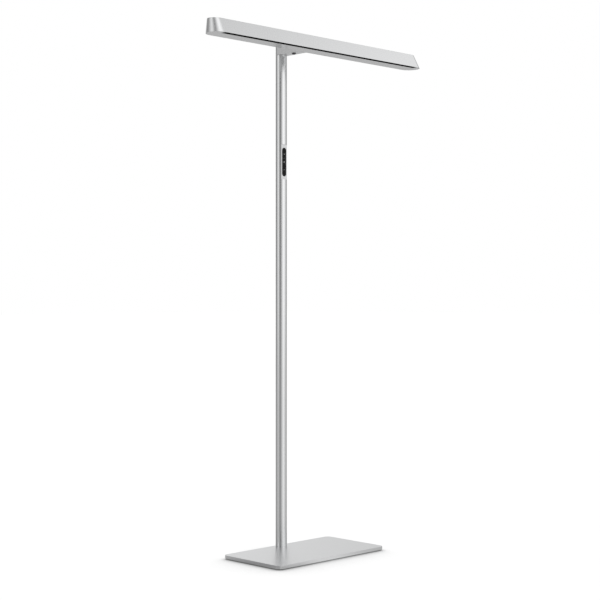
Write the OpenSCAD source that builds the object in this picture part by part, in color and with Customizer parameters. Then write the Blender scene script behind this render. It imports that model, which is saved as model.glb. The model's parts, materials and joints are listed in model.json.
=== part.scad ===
// Office floor lamp: a flat base plate, a round stem at its rear edge, an arm
// on top of the stem and a long luminaire head with a black louvre below and
// a diffuser above. The origin is the middle of the base, on the floor.
// +X runs along the head, -Y is the front and +Z is up. Millimetres.

/* [Lamp] */
// Height of the lamp, from the floor to the top of the head
lamp_h = 1950; // [1500:10:2300]
// Distance from the stem's axis forward to the middle of the head
reach = 210.5; // [150:0.5:300]

/* [Base plate] */
// Length of the base plate along the head
base_l = 562; // [420:1:760]
// Width of the base plate from front to rear
base_w = 304; // [230:1:420]
// Thickness of the base plate
base_t = 12; // [8:0.5:18]
// Radius of the base plate's corners
base_corner_r = 20; // [6:1:40]
// Chamfer along the base plate's top edge
base_chamfer = 0.5; // [0.3:0.1:2]
// Diameter of a floor pad
pad_d = 30; // [16:1:44]
// Thickness of a floor pad
pad_t = 4.6; // [3:0.2:8]
// Depth of the seat that a floor pad sits in
pad_seat = 1; // [0.5:0.1:2]
// Distance of a floor pad's middle from the plate's edges
pad_inset = 32; // [24:1:60]

/* [Stem] */
// Outer diameter of the stem tube
stem_d = 43.6; // [40:0.2:60]
// Wall of the stem tube
stem_wall = 2.5; // [1.5:0.1:4]
// Distance of the stem from the base plate's rear edge
stem_inset = 0.2; // [0.2:0.1:100]
// Height of the plug in the stem's foot
foot_plug_h = 30; // [20:1:60]
// Height of the plug in the stem's top
top_plug_h = 40; // [20:1:70]
// Shadow gap between the stem and the arm
neck_gap = 0.6; // [0.3:0.1:2]
// Radius of the circle that the base bolts stand on
bolt_circle_r = 11; // [10:0.5:13]
// Thread diameter of a base bolt
bolt_d = 8; // [5:1:8]
// Radius of the circle that the arm's screws stand on
arm_circle_r = 13.6; // [13.4:0.1:13.7]

/* [Cord entry] */
// Height of the cord entry above the base plate
entry_h = 48; // [42:1:90]
// Diameter of the bushing's bore, for a mains cord
entry_bore_d = 7.4; // [5:0.1:9]
// Outer diameter of the bushing
entry_d = 10.4; // [10:0.1:14]
// Length of the bushing's bore
entry_l = 7; // [5:0.5:9]

/* [Control pad] */
// Distance of the control pad's middle below the arm
pad_drop = 412; // [125:1:900]
// Length of the control pad
control_l = 110; // [106:1:140]
// Width of the control pad
control_w = 21.5; // [21:0.5:24]
// Depth of the control pad's flat face behind the stem's front
control_sink = 5.8; // [4.8:0.1:6.8]
// Depth of the control pad's frame
control_depth = 8.9; // [8.5:0.1:10]
// Wall of the control pad's frame
control_wall = 1.6; // [1.2:0.1:1.8]
// Distance of the flat's ends above and below the control pad
flat_margin = 12; // [4:1:20]
// Distance between two keys
key_pitch = 30; // [28:0.5:32]
// Length of a key
key_l = 24.4; // [18:0.2:24.6]
// Width of a key
key_w = 14.6; // [11:0.2:15]
// Travel of a key
key_travel = 0.6; // [0.3:0.1:0.8]
// Height that a key stands above the pad's face
key_proud = 0.4; // [0.1:0.1:1]

/* [Arm] */
// Height of the arm
arm_h = 34; // [30:1:44]
// Distance of the arm's top below the head's top
arm_drop = 6; // [2:1:10]
// Side wall of the arm
arm_wall = 4; // [3:0.2:5]
// Floor of the arm
arm_floor = 4; // [3:0.2:6]
// Front wall of the arm
arm_end = 8; // [6:0.5:12]
// Thickness of the arm's cover
cover_t = 2.5; // [1.5:0.1:4]
// Rim around the arm's cover
cover_rim = 1.6; // [1:0.1:2.2]
// Diameter of the presence sensor's lens
sensor_d = 16; // [12:0.5:20]
// Distance of the sensor in front of the stem's axis
sensor_reach = 70; // [52:1:110]
// Height that the sensor's lens stands out below the arm
sensor_proud = 5; // [1:1:6]

/* [Head] */
// Length of the head
head_l = 1106; // [880:1:1400]
// Width of the head's underside
head_w = 83; // [76:1:100]
// Height of the head
head_h = 54; // [52:1:60]
// Draft of the head's ends, which the front face has twice over
head_draft = 13.5; // [10:0.1:15]
// Wall of the head's shell
head_wall = 2; // [1.5:0.1:3]
// Chamfer around the head's top
head_chamfer = 1.2; // [0.4:0.1:2]
// Thickness of the panel that closes the underside
panel_t = 2; // [1.5:0.1:3]

/* [Downlight] */
// Width of the black louvre
louvre_w = 21.2; // [20:0.1:26]
// Height of the louvre
louvre_h = 12; // [8:0.5:14]
// Distance between two of the louvre's cells
cell_pitch = 30; // [20:1:45]
// Thickness of a blade at its lower edge
blade_low = 0.8; // [0.5:0.1:2]
// Thickness of a blade at its upper edge
blade_high = 3; // [1:0.1:5]
// Thickness of the lens strip
lens_t = 2.5; // [1.5:0.1:4]
// Thickness of both light-source boards
board_t = 1.6; // [1:0.1:2]

/* [Uplight] */
// Width of the window in the head's top
window_w = 30; // [16:1:34]
// Distance from the window's ends to the ends of the head's straight part
window_margin = 13; // [4:1:60]
// Distance between two light sources on the uplight board
up_pitch = 25; // [15:1:50]

/* [Driver] */
// Length of the driver
driver_l = 300; // [150:5:360]
// Width of the driver
driver_w = 28; // [26:1:30]
// Height of the driver
driver_h = 22; // [16:1:22]

/* [Clearances] */
// Gap between parts that are set into each other
fit = 0.3; // [0.1:0.05:0.5]
// Gap around a plug in the stem
plug_fit = 0.15; // [0.05:0.05:0.3]
// Gap between a screw and its hole, at the radius
screw_fit = 0.1; // [0.05:0.05:0.2]

/* [Hidden] */

silver = [0.78, 0.79, 0.80];
satin = [0.70, 0.71, 0.72];
black = [0.06, 0.06, 0.07];
steel = [0.60, 0.60, 0.62];
board_green = [0.10, 0.32, 0.20];
board_white = [0.90, 0.90, 0.88];
led_yellow = [0.93, 0.85, 0.45];
opal = [0.93, 0.93, 0.92];
clear = [0.85, 0.90, 0.93];

fine = 96;
small = 32;
over = 1;

// Heights and places that follow from the sizes above
plate_z = pad_t - pad_seat;
plate_top = plate_z + base_t;
stem_r = stem_d / 2;
bore_r = stem_r - stem_wall;
stem_y = base_w / 2 - stem_inset - stem_r;
head_z = lamp_h - head_h;
arm_rise = head_h - arm_drop - arm_h;
arm_z = head_z + arm_rise;
tube_top = arm_z - neck_gap;
pad_z = arm_z - pad_drop;
head_y = stem_y - reach;
rear_y = head_y + head_w / 2;
pad_x = base_l / 2 - pad_inset;
pad_y = base_w / 2 - pad_inset;

// Screws
bolt_r = bolt_d / 2;
bolt_head_r = bolt_d;
bolt_head_h = bolt_d * 0.55;
bolt_grip = 18;
m5_r = 2.5;
m5_head_r = 4;
m5_head_h = 3;
m4_r = 2;
m4_head_r = 3.8;
m4_head_h = 2.4;
m3_r = 1.5;
m3_head_r = 2.8;
m3_head_h = 1.6;
arm_screw_l = 16;
bolt_angles = [30, 150, 270];
grub_l = 6;
grub_end = stem_r - 0.6;

// Leads inside the lamp
supply_r = 3.5;
control_r = 2;
supply_x = -3.5;
control_x = 5;
lead_y = 4;
lead_bend = 10;
lead_rise = arm_h / 2;
lead_hole_r = 7.6;
sensor_lead_r = 1.2;
sensor_lead_x = 1.5;
sensor_lead_bend = 4;
sensor_lead_rise = lead_rise + 4.8;
plug_hole_r = 9.4;
plug_hole_y = 2;
coupler_size = [24, 18, 34];

// Control pad, with depths measured forward of the stem's axis
key_plate = 1.6;
key_lip = 1.2;
key_lip_t = 1;
key_corner = 4;
plunger_r = 1.6;
plunger_l = 2.5;
nib_r = 2.2;
switch_side = 7;
switch_h = 3.5;
control_face = stem_r - control_sink;
plate_back = control_face - key_plate;
lip_front = plate_back - fit;
lip_back = lip_front - key_lip_t;
frame_back = control_face - control_depth;
switch_front = frame_back + switch_h;
plunger_front = switch_front + key_travel + fit;
control_r_end = control_w / 2;
control_hook_w = 8;
control_hook = 2.4;
control_hook_t = 2;
flat_l = control_l + 2 * flat_margin;
seat_t = 3;
seat_lap = 6;
post_z = control_l / 2 - 6;
post_r = 2.6;
window_z = key_pitch / 2;
status_r = 1.2;
header_size = [8, 5, 6];
header_z = 38;

// Arm
pocket_r = stem_r - arm_wall;
pocket_top = arm_z + arm_h - cover_t;
cover_r = stem_r - cover_rim;
boss_r = 3.6;
boss_x = pocket_r - 2.6;
boss_rear_y = stem_y - 34;
boss_front_y = rear_y + arm_end + 12;
sensor_y = stem_y - sensor_reach;
sensor_wall = 1.2;
sensor_flange = 2;
sensor_flange_t = 1.4;
sensor_rim = arm_floor + 5.5;
sensor_board_side = 22;
neck_x = 13;
neck_low = 6;
neck_high = arm_h - neck_low;
bracket_t = 3;
bracket_x = 22;

// Head, with heights measured up from its underside
half_straight = (head_l - head_w) / 2;
draft_rate = head_draft / head_h;
louvre_l = 2 * half_straight - 3;
louvre_z = 0.1;
head_rim = 0.2;
louvre_top = louvre_z + louvre_h;
louvre_wall = 1.4;
louvre_back = -head_w / 2 + head_wall + fit + louvre_w;
louvre_flange = 1.6;
louvre_flange_t = 1.2;
lip_wall = 0.8;
lip_t = 1.2;
rebate_h = louvre_z + lip_t + fit;
cells = floor(louvre_l / cell_pitch);
cells_l = cells * cell_pitch;
web_front = louvre_back + louvre_flange + fit;
web_t = 2.5;
web_back = web_front + web_t;
chip = 3;
chip_h = 0.8;
optic_gap = 4.6;
board_z = louvre_top + lens_t + optic_gap;
low_shelf_z = board_z + board_t;
low_shelf_t = 2.5;
low_shelf_front = front_at(low_shelf_z + low_shelf_t) + head_wall + 0.4;
channel_front = front_at(louvre_top) + head_wall + fit + louvre_wall;
channel_back = louvre_back - louvre_wall;
led_y = (channel_front + channel_back) / 2;
optic_r = (channel_back - channel_front) / 2 - fit;
optic_sink = 4;
lens_front = front_at(louvre_top + lens_t) + head_wall + fit;
up_shelf_z = head_h - 14.5;
up_shelf_t = 2;
up_board_z = up_shelf_z + up_shelf_t;
up_board_w = 15;
shelf_back = head_w / 2 - head_wall - bracket_t - fit;
window_l = 2 * half_straight - 2 * window_margin;
window_flange = 2.2;
window_flange_t = 1.8;
cavity_back = head_w / 2 - head_wall;
block_depth = 13;
block_w = 14;
block_h = 6;
block_x = [-half_straight + 60, -150, 150, half_straight - 60];
block_y = cavity_back - block_depth / 2 - 2;
notch_x = bracket_x + 3;
notch_y = shelf_back - 6;
clip_w = 10;
clip_depth = 10;
clip_h = 9;
clip_x = [-half_straight + 20, -280, -60, 60, 280, half_straight - 20];
clip_y = cavity_back - clip_depth / 2;
terminal_size = [40, 17, 17];
terminal_z = arm_rise + lead_rise - 9;
driver_x = 75;
driver_y = web_back + fit;
driver_z = up_shelf_z - fit - driver_h;
driver_screw_inset = 12;
driver_screw_y = driver_y + 6;
feed_r = 3;
wire_r = 1.5;
wire_bend = 5;
wire_hole_r = 2.4;
wire_x = driver_x + driver_l + 12;
wire_z = up_shelf_z - 9;
wire_start_y = driver_y + 6;
wire_low_y = web_front - 5.5;
wire_high_y = driver_y + driver_w - 5;

// How far forward the head's front face lies at a height, and a stadium's radius there
function front_at(z) = -head_w / 2 + 2 * draft_rate * z;
function radius_at(z) = head_w / 2 - draft_rate * z;

// ---------- shapes that repeat ----------

// Rectangle with round ends, straight along X for l, with the given radius
module stadium(l, r) {
    square([l, 2 * r], center = true);
    for (side = [-1, 1]) translate([side * l / 2, 0]) circle(r = r, $fn = fine);
}

// Rectangle with round corners
module rounded_rect(l, w, r) {
    square([l - 2 * r, w], center = true);
    square([l, w - 2 * r], center = true);
    for (x = [-1, 1], y = [-1, 1]) {
        translate([x * (l / 2 - r), y * (w / 2 - r)]) circle(r = r, $fn = fine);
    }
}

// One level of the head's outline: set in by inset, at height z
module head_level(z, inset, t) {
    translate([0, draft_rate * z, z])
        linear_extrude(t) stadium(2 * half_straight, radius_at(z) - inset);
}

// A body that stands in the stem's frame, turned to face the front: its 2D
// outline lies across X and Z, and it fills the depths from back to front
module facing(back, front) {
    translate([0, stem_y - back, pad_z]) rotate([90, 0, 0]) linear_extrude(front - back) children();
}

// Round bar along -Y from y1 back to y2
module bar_y(x, y1, y2, z, r) {
    translate([x, y2, z]) rotate([90, 0, 0]) cylinder(r = r, h = y2 - y1, $fn = small);
}

// Screw with a flat round head that stands on z and a shank that goes down
module pan_screw(r, l, head_r, head_h) {
    translate([0, 0, -l]) cylinder(r = r, h = l + head_h / 2, $fn = small);
    difference() {
        cylinder(r = head_r, h = head_h, $fn = small);
        translate([0, 0, head_h / 2]) cylinder(r = r * 0.9, h = head_h, $fn = 6);
    }
}

// Countersunk screw whose head lies flush with z and points up
module sunk_screw(r, l, head_r, head_h) {
    translate([0, 0, -l]) cylinder(r = r, h = l - head_h / 2, $fn = small);
    difference() {
        translate([0, 0, -head_h]) cylinder(r1 = r, r2 = head_r, h = head_h, $fn = small);
        translate([0, 0, -head_h / 2]) cylinder(r = r * 0.9, h = head_h, $fn = 6);
    }
}

// Hole for a countersunk screw, cut down from z
module sunk_hole(r, l, head_r, head_h) {
    translate([0, 0, -l]) cylinder(r = r + screw_fit, h = l + over, $fn = small);
    translate([0, 0, -head_h]) cylinder(r1 = r + screw_fit, r2 = head_r + screw_fit, h = head_h, $fn = small);
    cylinder(r = head_r + screw_fit, h = over, $fn = small);
}

// ---------- base ----------

module base_plate() {
    color(silver) difference() {
        union() {
            translate([0, 0, plate_z])
                linear_extrude(base_t - base_chamfer) rounded_rect(base_l, base_w, base_corner_r);
            translate([0, 0, plate_top - base_chamfer]) base_edge();
        }
        for (x = [-pad_x, pad_x], y = [-pad_y, pad_y]) {
            translate([x, y, plate_z - over]) cylinder(r = pad_d / 2 + fit, h = pad_seat + over, $fn = fine);
        }
        at_bolts() rotate([180, 0, 0]) sunk_hole(bolt_r, base_t + over, bolt_head_r, bolt_head_h);
    }
}

// Chamfered rim of the plate: cones at the corners, joined by sloping bars
module base_edge() {
    cx = base_l / 2 - base_corner_r;
    cy = base_w / 2 - base_corner_r;
    r = base_corner_r;
    c = base_chamfer;
    for (x = [-cx, cx], y = [-cy, cy]) {
        translate([x, y, 0]) cylinder(r1 = r, r2 = r - c, h = c, $fn = fine);
    }
    rotate([90, 0, 0]) linear_extrude(2 * cy, center = true) edge_profile(cx + r, c);
    rotate([90, 0, 90]) linear_extrude(2 * cx, center = true) edge_profile(cy + r, c);
}

module edge_profile(half, c) {
    polygon([[-half, 0], [half, 0], [half - c, c], [-half + c, c]]);
}

module at_bolts() {
    for (a = bolt_angles) {
        translate([bolt_circle_r * cos(a), stem_y + bolt_circle_r * sin(a), plate_z]) children();
    }
}

module floor_pads() {
    color(black) for (x = [-pad_x, pad_x], y = [-pad_y, pad_y]) {
        translate([x, y, 0]) {
            cylinder(r1 = pad_d / 2 - 1, r2 = pad_d / 2, h = 1, $fn = fine);
            translate([0, 0, 1]) cylinder(r = pad_d / 2, h = pad_t - 1, $fn = fine);
        }
    }
}

module base_bolts() {
    color(steel) at_bolts() rotate([180, 0, 0])
        sunk_screw(bolt_r, base_t + bolt_grip, bolt_head_r, bolt_head_h);
}

// ---------- stem ----------

module foot_plug() {
    color(steel) difference() {
        translate([0, stem_y, plate_top]) {
            cylinder(r = bore_r - plug_fit, h = foot_plug_h - 1, $fn = fine);
            translate([0, 0, foot_plug_h - 1])
                cylinder(r1 = bore_r - plug_fit, r2 = bore_r - plug_fit - 1, h = 1, $fn = fine);
        }
        at_bolts() cylinder(r = bolt_r + screw_fit, h = base_t + bolt_grip + 2, $fn = small);
        grub_holes();
    }
}

// Grub screws from the rear, which hold the stem on its plugs
module stem_grubs() {
    color(steel) at_grubs() difference() {
        bar_y(0, grub_end - grub_l, grub_end, 0, m5_r);
        translate([0, grub_end - 2, 0]) rotate([-90, 0, 0]) cylinder(r = m5_r * 0.55, h = 2 + over, $fn = 6);
    }
}

module grub_holes() {
    at_grubs() bar_y(0, grub_end - grub_l - 0.5, stem_r + over, 0, m5_r + screw_fit);
}

module at_grubs() {
    for (z = [plate_top + foot_plug_h / 2, arm_z - top_plug_h / 2]) translate([0, stem_y, z]) children();
}

module stem_tube() {
    color(silver) difference() {
        translate([0, stem_y, plate_top]) cylinder(r = stem_r, h = tube_top - plate_top, $fn = fine);
        translate([0, stem_y, plate_top - over])
            cylinder(r = bore_r, h = tube_top - plate_top + 2 * over, $fn = fine);
        pad_opening();
        facing(control_face, stem_r + over) square([2 * stem_r + over, flat_l], center = true);
        entry_cylinder(entry_d / 2, 0, stem_r + over);
        grub_holes();
    }
}

// Cylinder through the stem's rear wall on the cord entry's axis
module entry_cylinder(r, from, to) {
    translate([0, stem_y + from, plate_top + entry_h])
        rotate([-90, 0, 0]) cylinder(r = r, h = to - from, $fn = fine);
}

// Bushing pushed into the stem's rear wall from inside, flush with the outside
module cord_bushing() {
    outer = stem_r - 0.5;
    inner = outer - entry_l;
    color(black) difference() {
        union() {
            entry_cylinder(entry_d / 2 - 0.1, inner, outer);
            intersection() {
                entry_cylinder(entry_d / 2 + 2, inner, bore_r);
                translate([0, stem_y, plate_top])
                    cylinder(r = bore_r - plug_fit, h = 2 * entry_h, $fn = fine);
            }
        }
        entry_cylinder(entry_bore_d / 2, inner - over, outer + over);
    }
}

// Plug connector that ends the inner lead, standing on the foot plug
module lead_coupler() {
    s = coupler_size;
    color(black) translate([0, stem_y, plate_top + foot_plug_h]) difference() {
        linear_extrude(s[2]) rounded_rect(s[0], s[1], 3);
        for (x = [-7, 0, 7]) translate([x, 0, s[2] * 0.35]) {
            rotate([90, 0, 0]) cylinder(r = 1.8, h = s[1], center = true, $fn = small);
        }
    }
}

// Quarter turn of a lead about the origin, from +X to +Y
module quarter_turn(r, bend) {
    rotate_extrude(angle = 90, $fn = fine) translate([bend, 0]) circle(r = r, $fn = small);
}

// Lead that rises at x and y from z_start, bends at z and runs forward to the terminal block
module lead(x, y, z, r, bend, z_start) {
    translate([x, y, z_start]) cylinder(r = r, h = z - bend - z_start, $fn = small);
    translate([x, y - bend, z - bend]) rotate([90, 0, 90]) quarter_turn(r, bend);
    bar_y(x, terminal_back(), y - bend, z, r);
}

// Lead that comes up inside the stem
module stem_lead(x, r, z_start) {
    lead(x, stem_y + lead_y, arm_z + lead_rise, r, lead_bend, z_start);
}

module supply_lead() {
    color(black) stem_lead(supply_x, supply_r, plate_top + foot_plug_h + coupler_size[2]);
}

function terminal_back() = head_y + web_back + fit + terminal_size[1];

module top_plug() {
    z = arm_z - top_plug_h;
    color(steel) difference() {
        union() {
            translate([0, stem_y, z]) cylinder(r = bore_r - plug_fit, h = top_plug_h - neck_gap, $fn = fine);
            translate([0, stem_y, z]) cylinder(r = bore_r - 1, h = top_plug_h, $fn = fine);
        }
        translate([0, stem_y + plug_hole_y, z - over])
            cylinder(r = plug_hole_r, h = top_plug_h + 2 * over, $fn = fine);
        at_arm_screws() cylinder(r = m5_r + screw_fit, h = 2 * arm_screw_l, center = true, $fn = small);
        grub_holes();
    }
}

module at_arm_screws() {
    for (a = bolt_angles) {
        translate([arm_circle_r * cos(a), stem_y + arm_circle_r * sin(a), arm_z]) children();
    }
}

// ---------- control pad ----------

module control_outline(inset) {
    rotate(90) stadium(control_l - control_w, control_r_end - inset);
}

module key_outline(grow) {
    rounded_rect(key_w + 2 * grow, key_l + 2 * grow, key_corner + grow);
}

module at_keys() {
    for (i = [-1, 0, 1]) translate([0, i * key_pitch]) children();
}

module control_frame() {
    color(black) difference() {
        union() {
            facing(frame_back, control_face) control_outline(0);
            control_hooks();
        }
        facing(plate_back - over, control_face + over) at_keys() key_outline(fit);
        facing(frame_back - over, plate_back) difference() {
            control_outline(control_wall);
            for (z = [-post_z, post_z]) translate([0, z]) circle(r = post_r, $fn = small);
        }
        facing(plate_back - over, control_face + over) translate([0, window_z])
            circle(r = status_r + screw_fit, $fn = small);
        for (z = [-post_z, post_z]) {
            facing(frame_back - over, frame_back + 5) translate([0, z]) circle(r = 1.1, $fn = small);
        }
    }
}

// Snap hooks that grip behind the seat above and below the pad
module control_hooks() {
    z = control_l / 2 + fit + control_hook;
    front = control_face - seat_t - fit;
    facing(front - control_hook_t, front) for (side = [-1, 1]) {
        translate([0, side * (z - 4)]) square([control_hook_w, 8], center = true);
    }
}

// Seat of the control pad: a plate inside the stem that fills the milled flat
// around the pad and reaches up and down behind the stem's wall
module control_seat() {
    color(silver) difference() {
        intersection() {
            facing(control_face - seat_t, stem_r) square([2 * stem_r, flat_l + 2 * seat_lap], center = true);
            translate([0, stem_y, pad_z - flat_l]) cylinder(r = bore_r - plug_fit, h = 2 * flat_l, $fn = fine);
        }
        facing(control_face, stem_r + over) square([2 * stem_r, flat_l], center = true);
        pad_opening();
    }
}

// Opening for the control pad, through the stem's front
module pad_opening() {
    facing(0, stem_r + over) control_outline(-fit);
}

// Key cap with a lip behind the frame's plate and a nib for its switch
module key(i) {
    color(black) difference() {
        translate([0, 0, i * key_pitch]) {
            facing(lip_back, control_face + key_proud) key_outline(0);
            facing(lip_back, lip_front) key_outline(key_lip);
            facing(plunger_front, lip_back) circle(r = nib_r, $fn = small);
        }
        translate([0, 0, i * key_pitch]) key_mark(i);
    }
}

// Sign sunk into a key: a cross bar for all, and an upright one on the upper key
module key_mark(i) {
    facing(control_face + key_proud - 0.25, control_face + key_proud + over) {
        if (i != 0) square([5, 1], center = true);
        if (i > 0) square([1, 5], center = true);
        if (i == 0) difference() {
            circle(r = 3.4, $fn = small);
            circle(r = 2.5, $fn = small);
        }
    }
}

module key_brighter() { key(1); }
module key_power() { key(0); }
module key_dimmer() { key(-1); }

// Plunger of one switch, which its key carries with it
module plunger(i) {
    color(opal) translate([0, 0, i * key_pitch])
        facing(plunger_front - plunger_l, plunger_front) circle(r = plunger_r, $fn = small);
}

module plunger_brighter() { plunger(1); }
module plunger_power() { plunger(0); }
module plunger_dimmer() { plunger(-1); }

module switch_bodies() {
    color(steel) facing(frame_back, switch_front) at_keys() difference() {
        square(switch_side, center = true);
        circle(r = plunger_r + fit, $fn = small);
    }
}

module status_window() {
    color(clear) facing(frame_back + fit, control_face - 0.1)
        translate([0, window_z]) circle(r = status_r, $fn = small);
}

// Board behind the frame, with the header that the control lead leaves from
module control_board() {
    s = header_size;
    color(board_green) difference() {
        union() {
            facing(frame_back - board_t, frame_back) control_outline(control_wall / 2);
            translate([control_x - s[0] / 2, stem_y - frame_back + board_t, pad_z + header_z]) cube(s);
        }
        for (z = [-post_z, post_z]) {
            facing(0, frame_back + over) translate([0, z]) circle(r = 1.2, $fn = small);
        }
    }
}

module board_screws() {
    color(steel) for (z = [-post_z, post_z]) {
        translate([0, stem_y - frame_back + board_t, pad_z + z])
            rotate([-90, 0, 0]) pan_screw(1, board_t + 4, 2, 1.2);
    }
}

// Thin lead that leaves the board's header to the rear, bends up and runs beside the supply lead
module control_lead() {
    y = stem_y - frame_back + board_t + header_size[1];
    z = pad_z + header_z + header_size[2] / 2;
    bend = stem_y + lead_y - y;
    color(black) {
        translate([control_x, y, z + bend]) rotate([90, 0, 90]) rotate(-90) quarter_turn(control_r, bend);
        stem_lead(control_x, control_r, z + bend);
    }
}

// ---------- arm ----------

// Plan of the arm: round about the stem's axis, straight to y_front
module arm_plan(r, y_front) {
    translate([0, stem_y]) circle(r = r, $fn = fine);
    translate([-r, y_front]) square([2 * r, stem_y - y_front]);
}

module arm_body() {
    color(silver) difference() {
        translate([0, 0, arm_z]) linear_extrude(arm_h) arm_plan(stem_r, rear_y + 0.05);
        translate([0, 0, arm_z + arm_floor]) linear_extrude(arm_h) difference() {
            arm_plan(pocket_r, rear_y + arm_end);
            at_cover_screws() circle(r = boss_r, $fn = small);
        }
        translate([0, 0, pocket_top]) linear_extrude(arm_h) arm_plan(cover_r, rear_y + cover_rim);
        translate([0, stem_y + plug_hole_y, arm_z - over])
            cylinder(r = plug_hole_r, h = arm_floor + 2 * over, $fn = fine);
        at_arm_screws() translate([0, 0, -over])
            cylinder(r = m5_r + 0.3, h = arm_floor + 2 * over, $fn = small);
        translate([0, sensor_y, arm_z - over])
            cylinder(r = sensor_d / 2 + fit, h = arm_floor + 2 * over, $fn = fine);
        bar_y(0, rear_y - over, rear_y + arm_end + over, arm_z + lead_rise, lead_hole_r);
        at_neck_screws() bar_y(0, rear_y - over, rear_y + arm_end + over, 0, m5_r + screw_fit);
        translate([0, 0, pocket_top]) at_cover_screws()
            translate([0, 0, -9]) cylinder(r = m3_r + screw_fit, h = 10, $fn = small);
    }
}

module at_cover_screws() {
    for (x = [-boss_x, boss_x], y = [boss_rear_y, boss_front_y]) translate([x, y]) children();
}

module at_neck_screws() {
    for (x = [-neck_x, neck_x], z = [neck_low, neck_high]) translate([x, 0, arm_z + z]) children();
}

module arm_cover() {
    color(silver) difference() {
        translate([0, 0, pocket_top])
            linear_extrude(cover_t) arm_plan(cover_r - fit / 2, rear_y + cover_rim + fit / 2);
        translate([0, 0, arm_z + arm_h]) at_cover_screws()
            sunk_hole(m3_r, cover_t + over, m3_head_r, m3_head_h);
    }
}

module cover_screws() {
    color(steel) translate([0, 0, arm_z + arm_h]) at_cover_screws()
        sunk_screw(m3_r, cover_t + 8, m3_head_r, m3_head_h);
}

module arm_screws() {
    color(steel) at_arm_screws() translate([0, 0, arm_floor])
        pan_screw(m5_r, arm_screw_l, m5_head_r, m5_head_h);
}

// Cup with a domed bottom that stands out below the arm
module sensor_lens() {
    r = sensor_d / 2;
    dome = sensor_proud - 1;
    ball = (r * r + dome * dome) / (2 * dome);
    color(black) translate([0, sensor_y, arm_z]) difference() {
        union() {
            translate([0, 0, -1]) cylinder(r = r, h = sensor_rim + 1, $fn = fine);
            translate([0, 0, arm_floor]) cylinder(r = r + sensor_flange, h = sensor_flange_t, $fn = fine);
            intersection() {
                translate([0, 0, ball - sensor_proud]) sphere(r = ball, $fn = fine);
                translate([0, 0, -sensor_proud - over])
                    cylinder(r = r, h = sensor_proud + over - 0.5, $fn = fine);
            }
        }
        translate([0, 0, -0.4]) cylinder(r = r - sensor_wall, h = sensor_rim + over, $fn = fine);
    }
}

// Square board on the lens cup's rim, with the detector can below it
module sensor_board() {
    color(board_green) translate([0, sensor_y, arm_z + sensor_rim]) {
        linear_extrude(board_t) rounded_rect(sensor_board_side, sensor_board_side, 1.5);
        translate([0, 0, -4]) cylinder(r = 4.6, h = 4.5, $fn = fine);
    }
}

// Thin lead from the sensor's board to the head
module sensor_lead() {
    start = arm_z + sensor_rim + board_t;
    color(black) lead(
        sensor_lead_x, sensor_y, arm_z + sensor_lead_rise, sensor_lead_r, sensor_lead_bend, start
    );
}

// ---------- head ----------

module in_head() {
    translate([0, head_y, head_z]) children();
}

// Shell: round-ended plan, upright rear face, sloping front face and ends
module head_shell() {
    top = head_h - head_wall;
    slice = 0.01;
    color(silver) difference() {
        union() {
            in_head() difference() {
                hull() {
                    head_level(0, head_rim, slice);
                    head_level(head_rim, 0, slice);
                    head_level(head_h - head_chamfer, 0, slice);
                    head_level(head_h - slice, head_chamfer, slice);
                }
                hull() {
                    head_level(-over, head_wall, slice);
                    head_level(top - slice, head_wall, slice);
                }
            }
            in_head() rail_blocks();
            in_head() panel_blocks();
        }
        in_head() translate([0, head_draft, top - over])
            linear_extrude(head_wall + 2 * over) stadium(window_l - window_w, window_w / 2);
        bar_y(0, rear_y - head_wall - over, rear_y + over, arm_z + lead_rise, lead_hole_r);
        at_neck_screws() bar_y(0, rear_y - head_wall - over, rear_y + over, 0, m5_r + 0.3);
        in_head() at_blocks() translate([0, 0, up_shelf_z - block_h - over])
            cylinder(r = m4_r + screw_fit, h = block_h + 2 * over, $fn = small);
        in_head() at_clips() translate([0, 0, panel_t])
            cylinder(r = m3_r + screw_fit, h = clip_h, $fn = small);
        in_head() along_head(louvre_l + 2 * fit) lip_section(lip_wall, -over, rebate_h);
    }
}

// Band behind the head's front face from z1 to z2, set in by the given depth:
// the louvre's lip, and the rebate in the shell's wall that takes it
module lip_section(depth, z1, z2) {
    back = head_wall + fit + louvre_wall / 2;
    polygon([
        [front_at(z1) + depth, z1],
        [front_at(z1) + back, z1],
        [front_at(z2) + back, z2],
        [front_at(z2) + depth, z2]
    ]);
}

module at_blocks() {
    for (x = block_x) translate([x, block_y]) children();
}

module at_clips() {
    for (x = clip_x) translate([x, clip_y]) children();
}

// Blocks on the rear wall that carry the rail's upper shelf
module rail_blocks() {
    for (x = block_x) translate([x - block_w / 2, cavity_back - block_depth, up_shelf_z - block_h])
        cube([block_w, block_depth + 0.5, block_h]);
}

// Blocks on the rear wall that the underside panel is screwed to
module panel_blocks() {
    for (x = clip_x) translate([x - clip_w / 2, cavity_back - clip_depth, panel_t])
        cube([clip_w, clip_depth + 0.5, clip_h]);
}

// Plate inside the head's rear wall that spreads the arm's load
module neck_bracket() {
    z = arm_z + 1;
    y = head_y + cavity_back - bracket_t;
    color(steel) difference() {
        translate([-bracket_x, y, z]) cube([2 * bracket_x, bracket_t, arm_h - 2]);
        bar_y(0, y - over, y + bracket_t + over, arm_z + lead_rise, lead_hole_r);
        at_neck_screws() bar_y(0, y - over, y + bracket_t + over, 0, m5_r + screw_fit);
    }
}

module neck_screws() {
    y = head_y + cavity_back - bracket_t;
    color(steel) at_neck_screws() translate([0, y, 0])
        rotate([90, 0, 0]) pan_screw(m5_r, bracket_t + head_wall + arm_end - 1, m5_head_r, m5_head_h);
}

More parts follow.
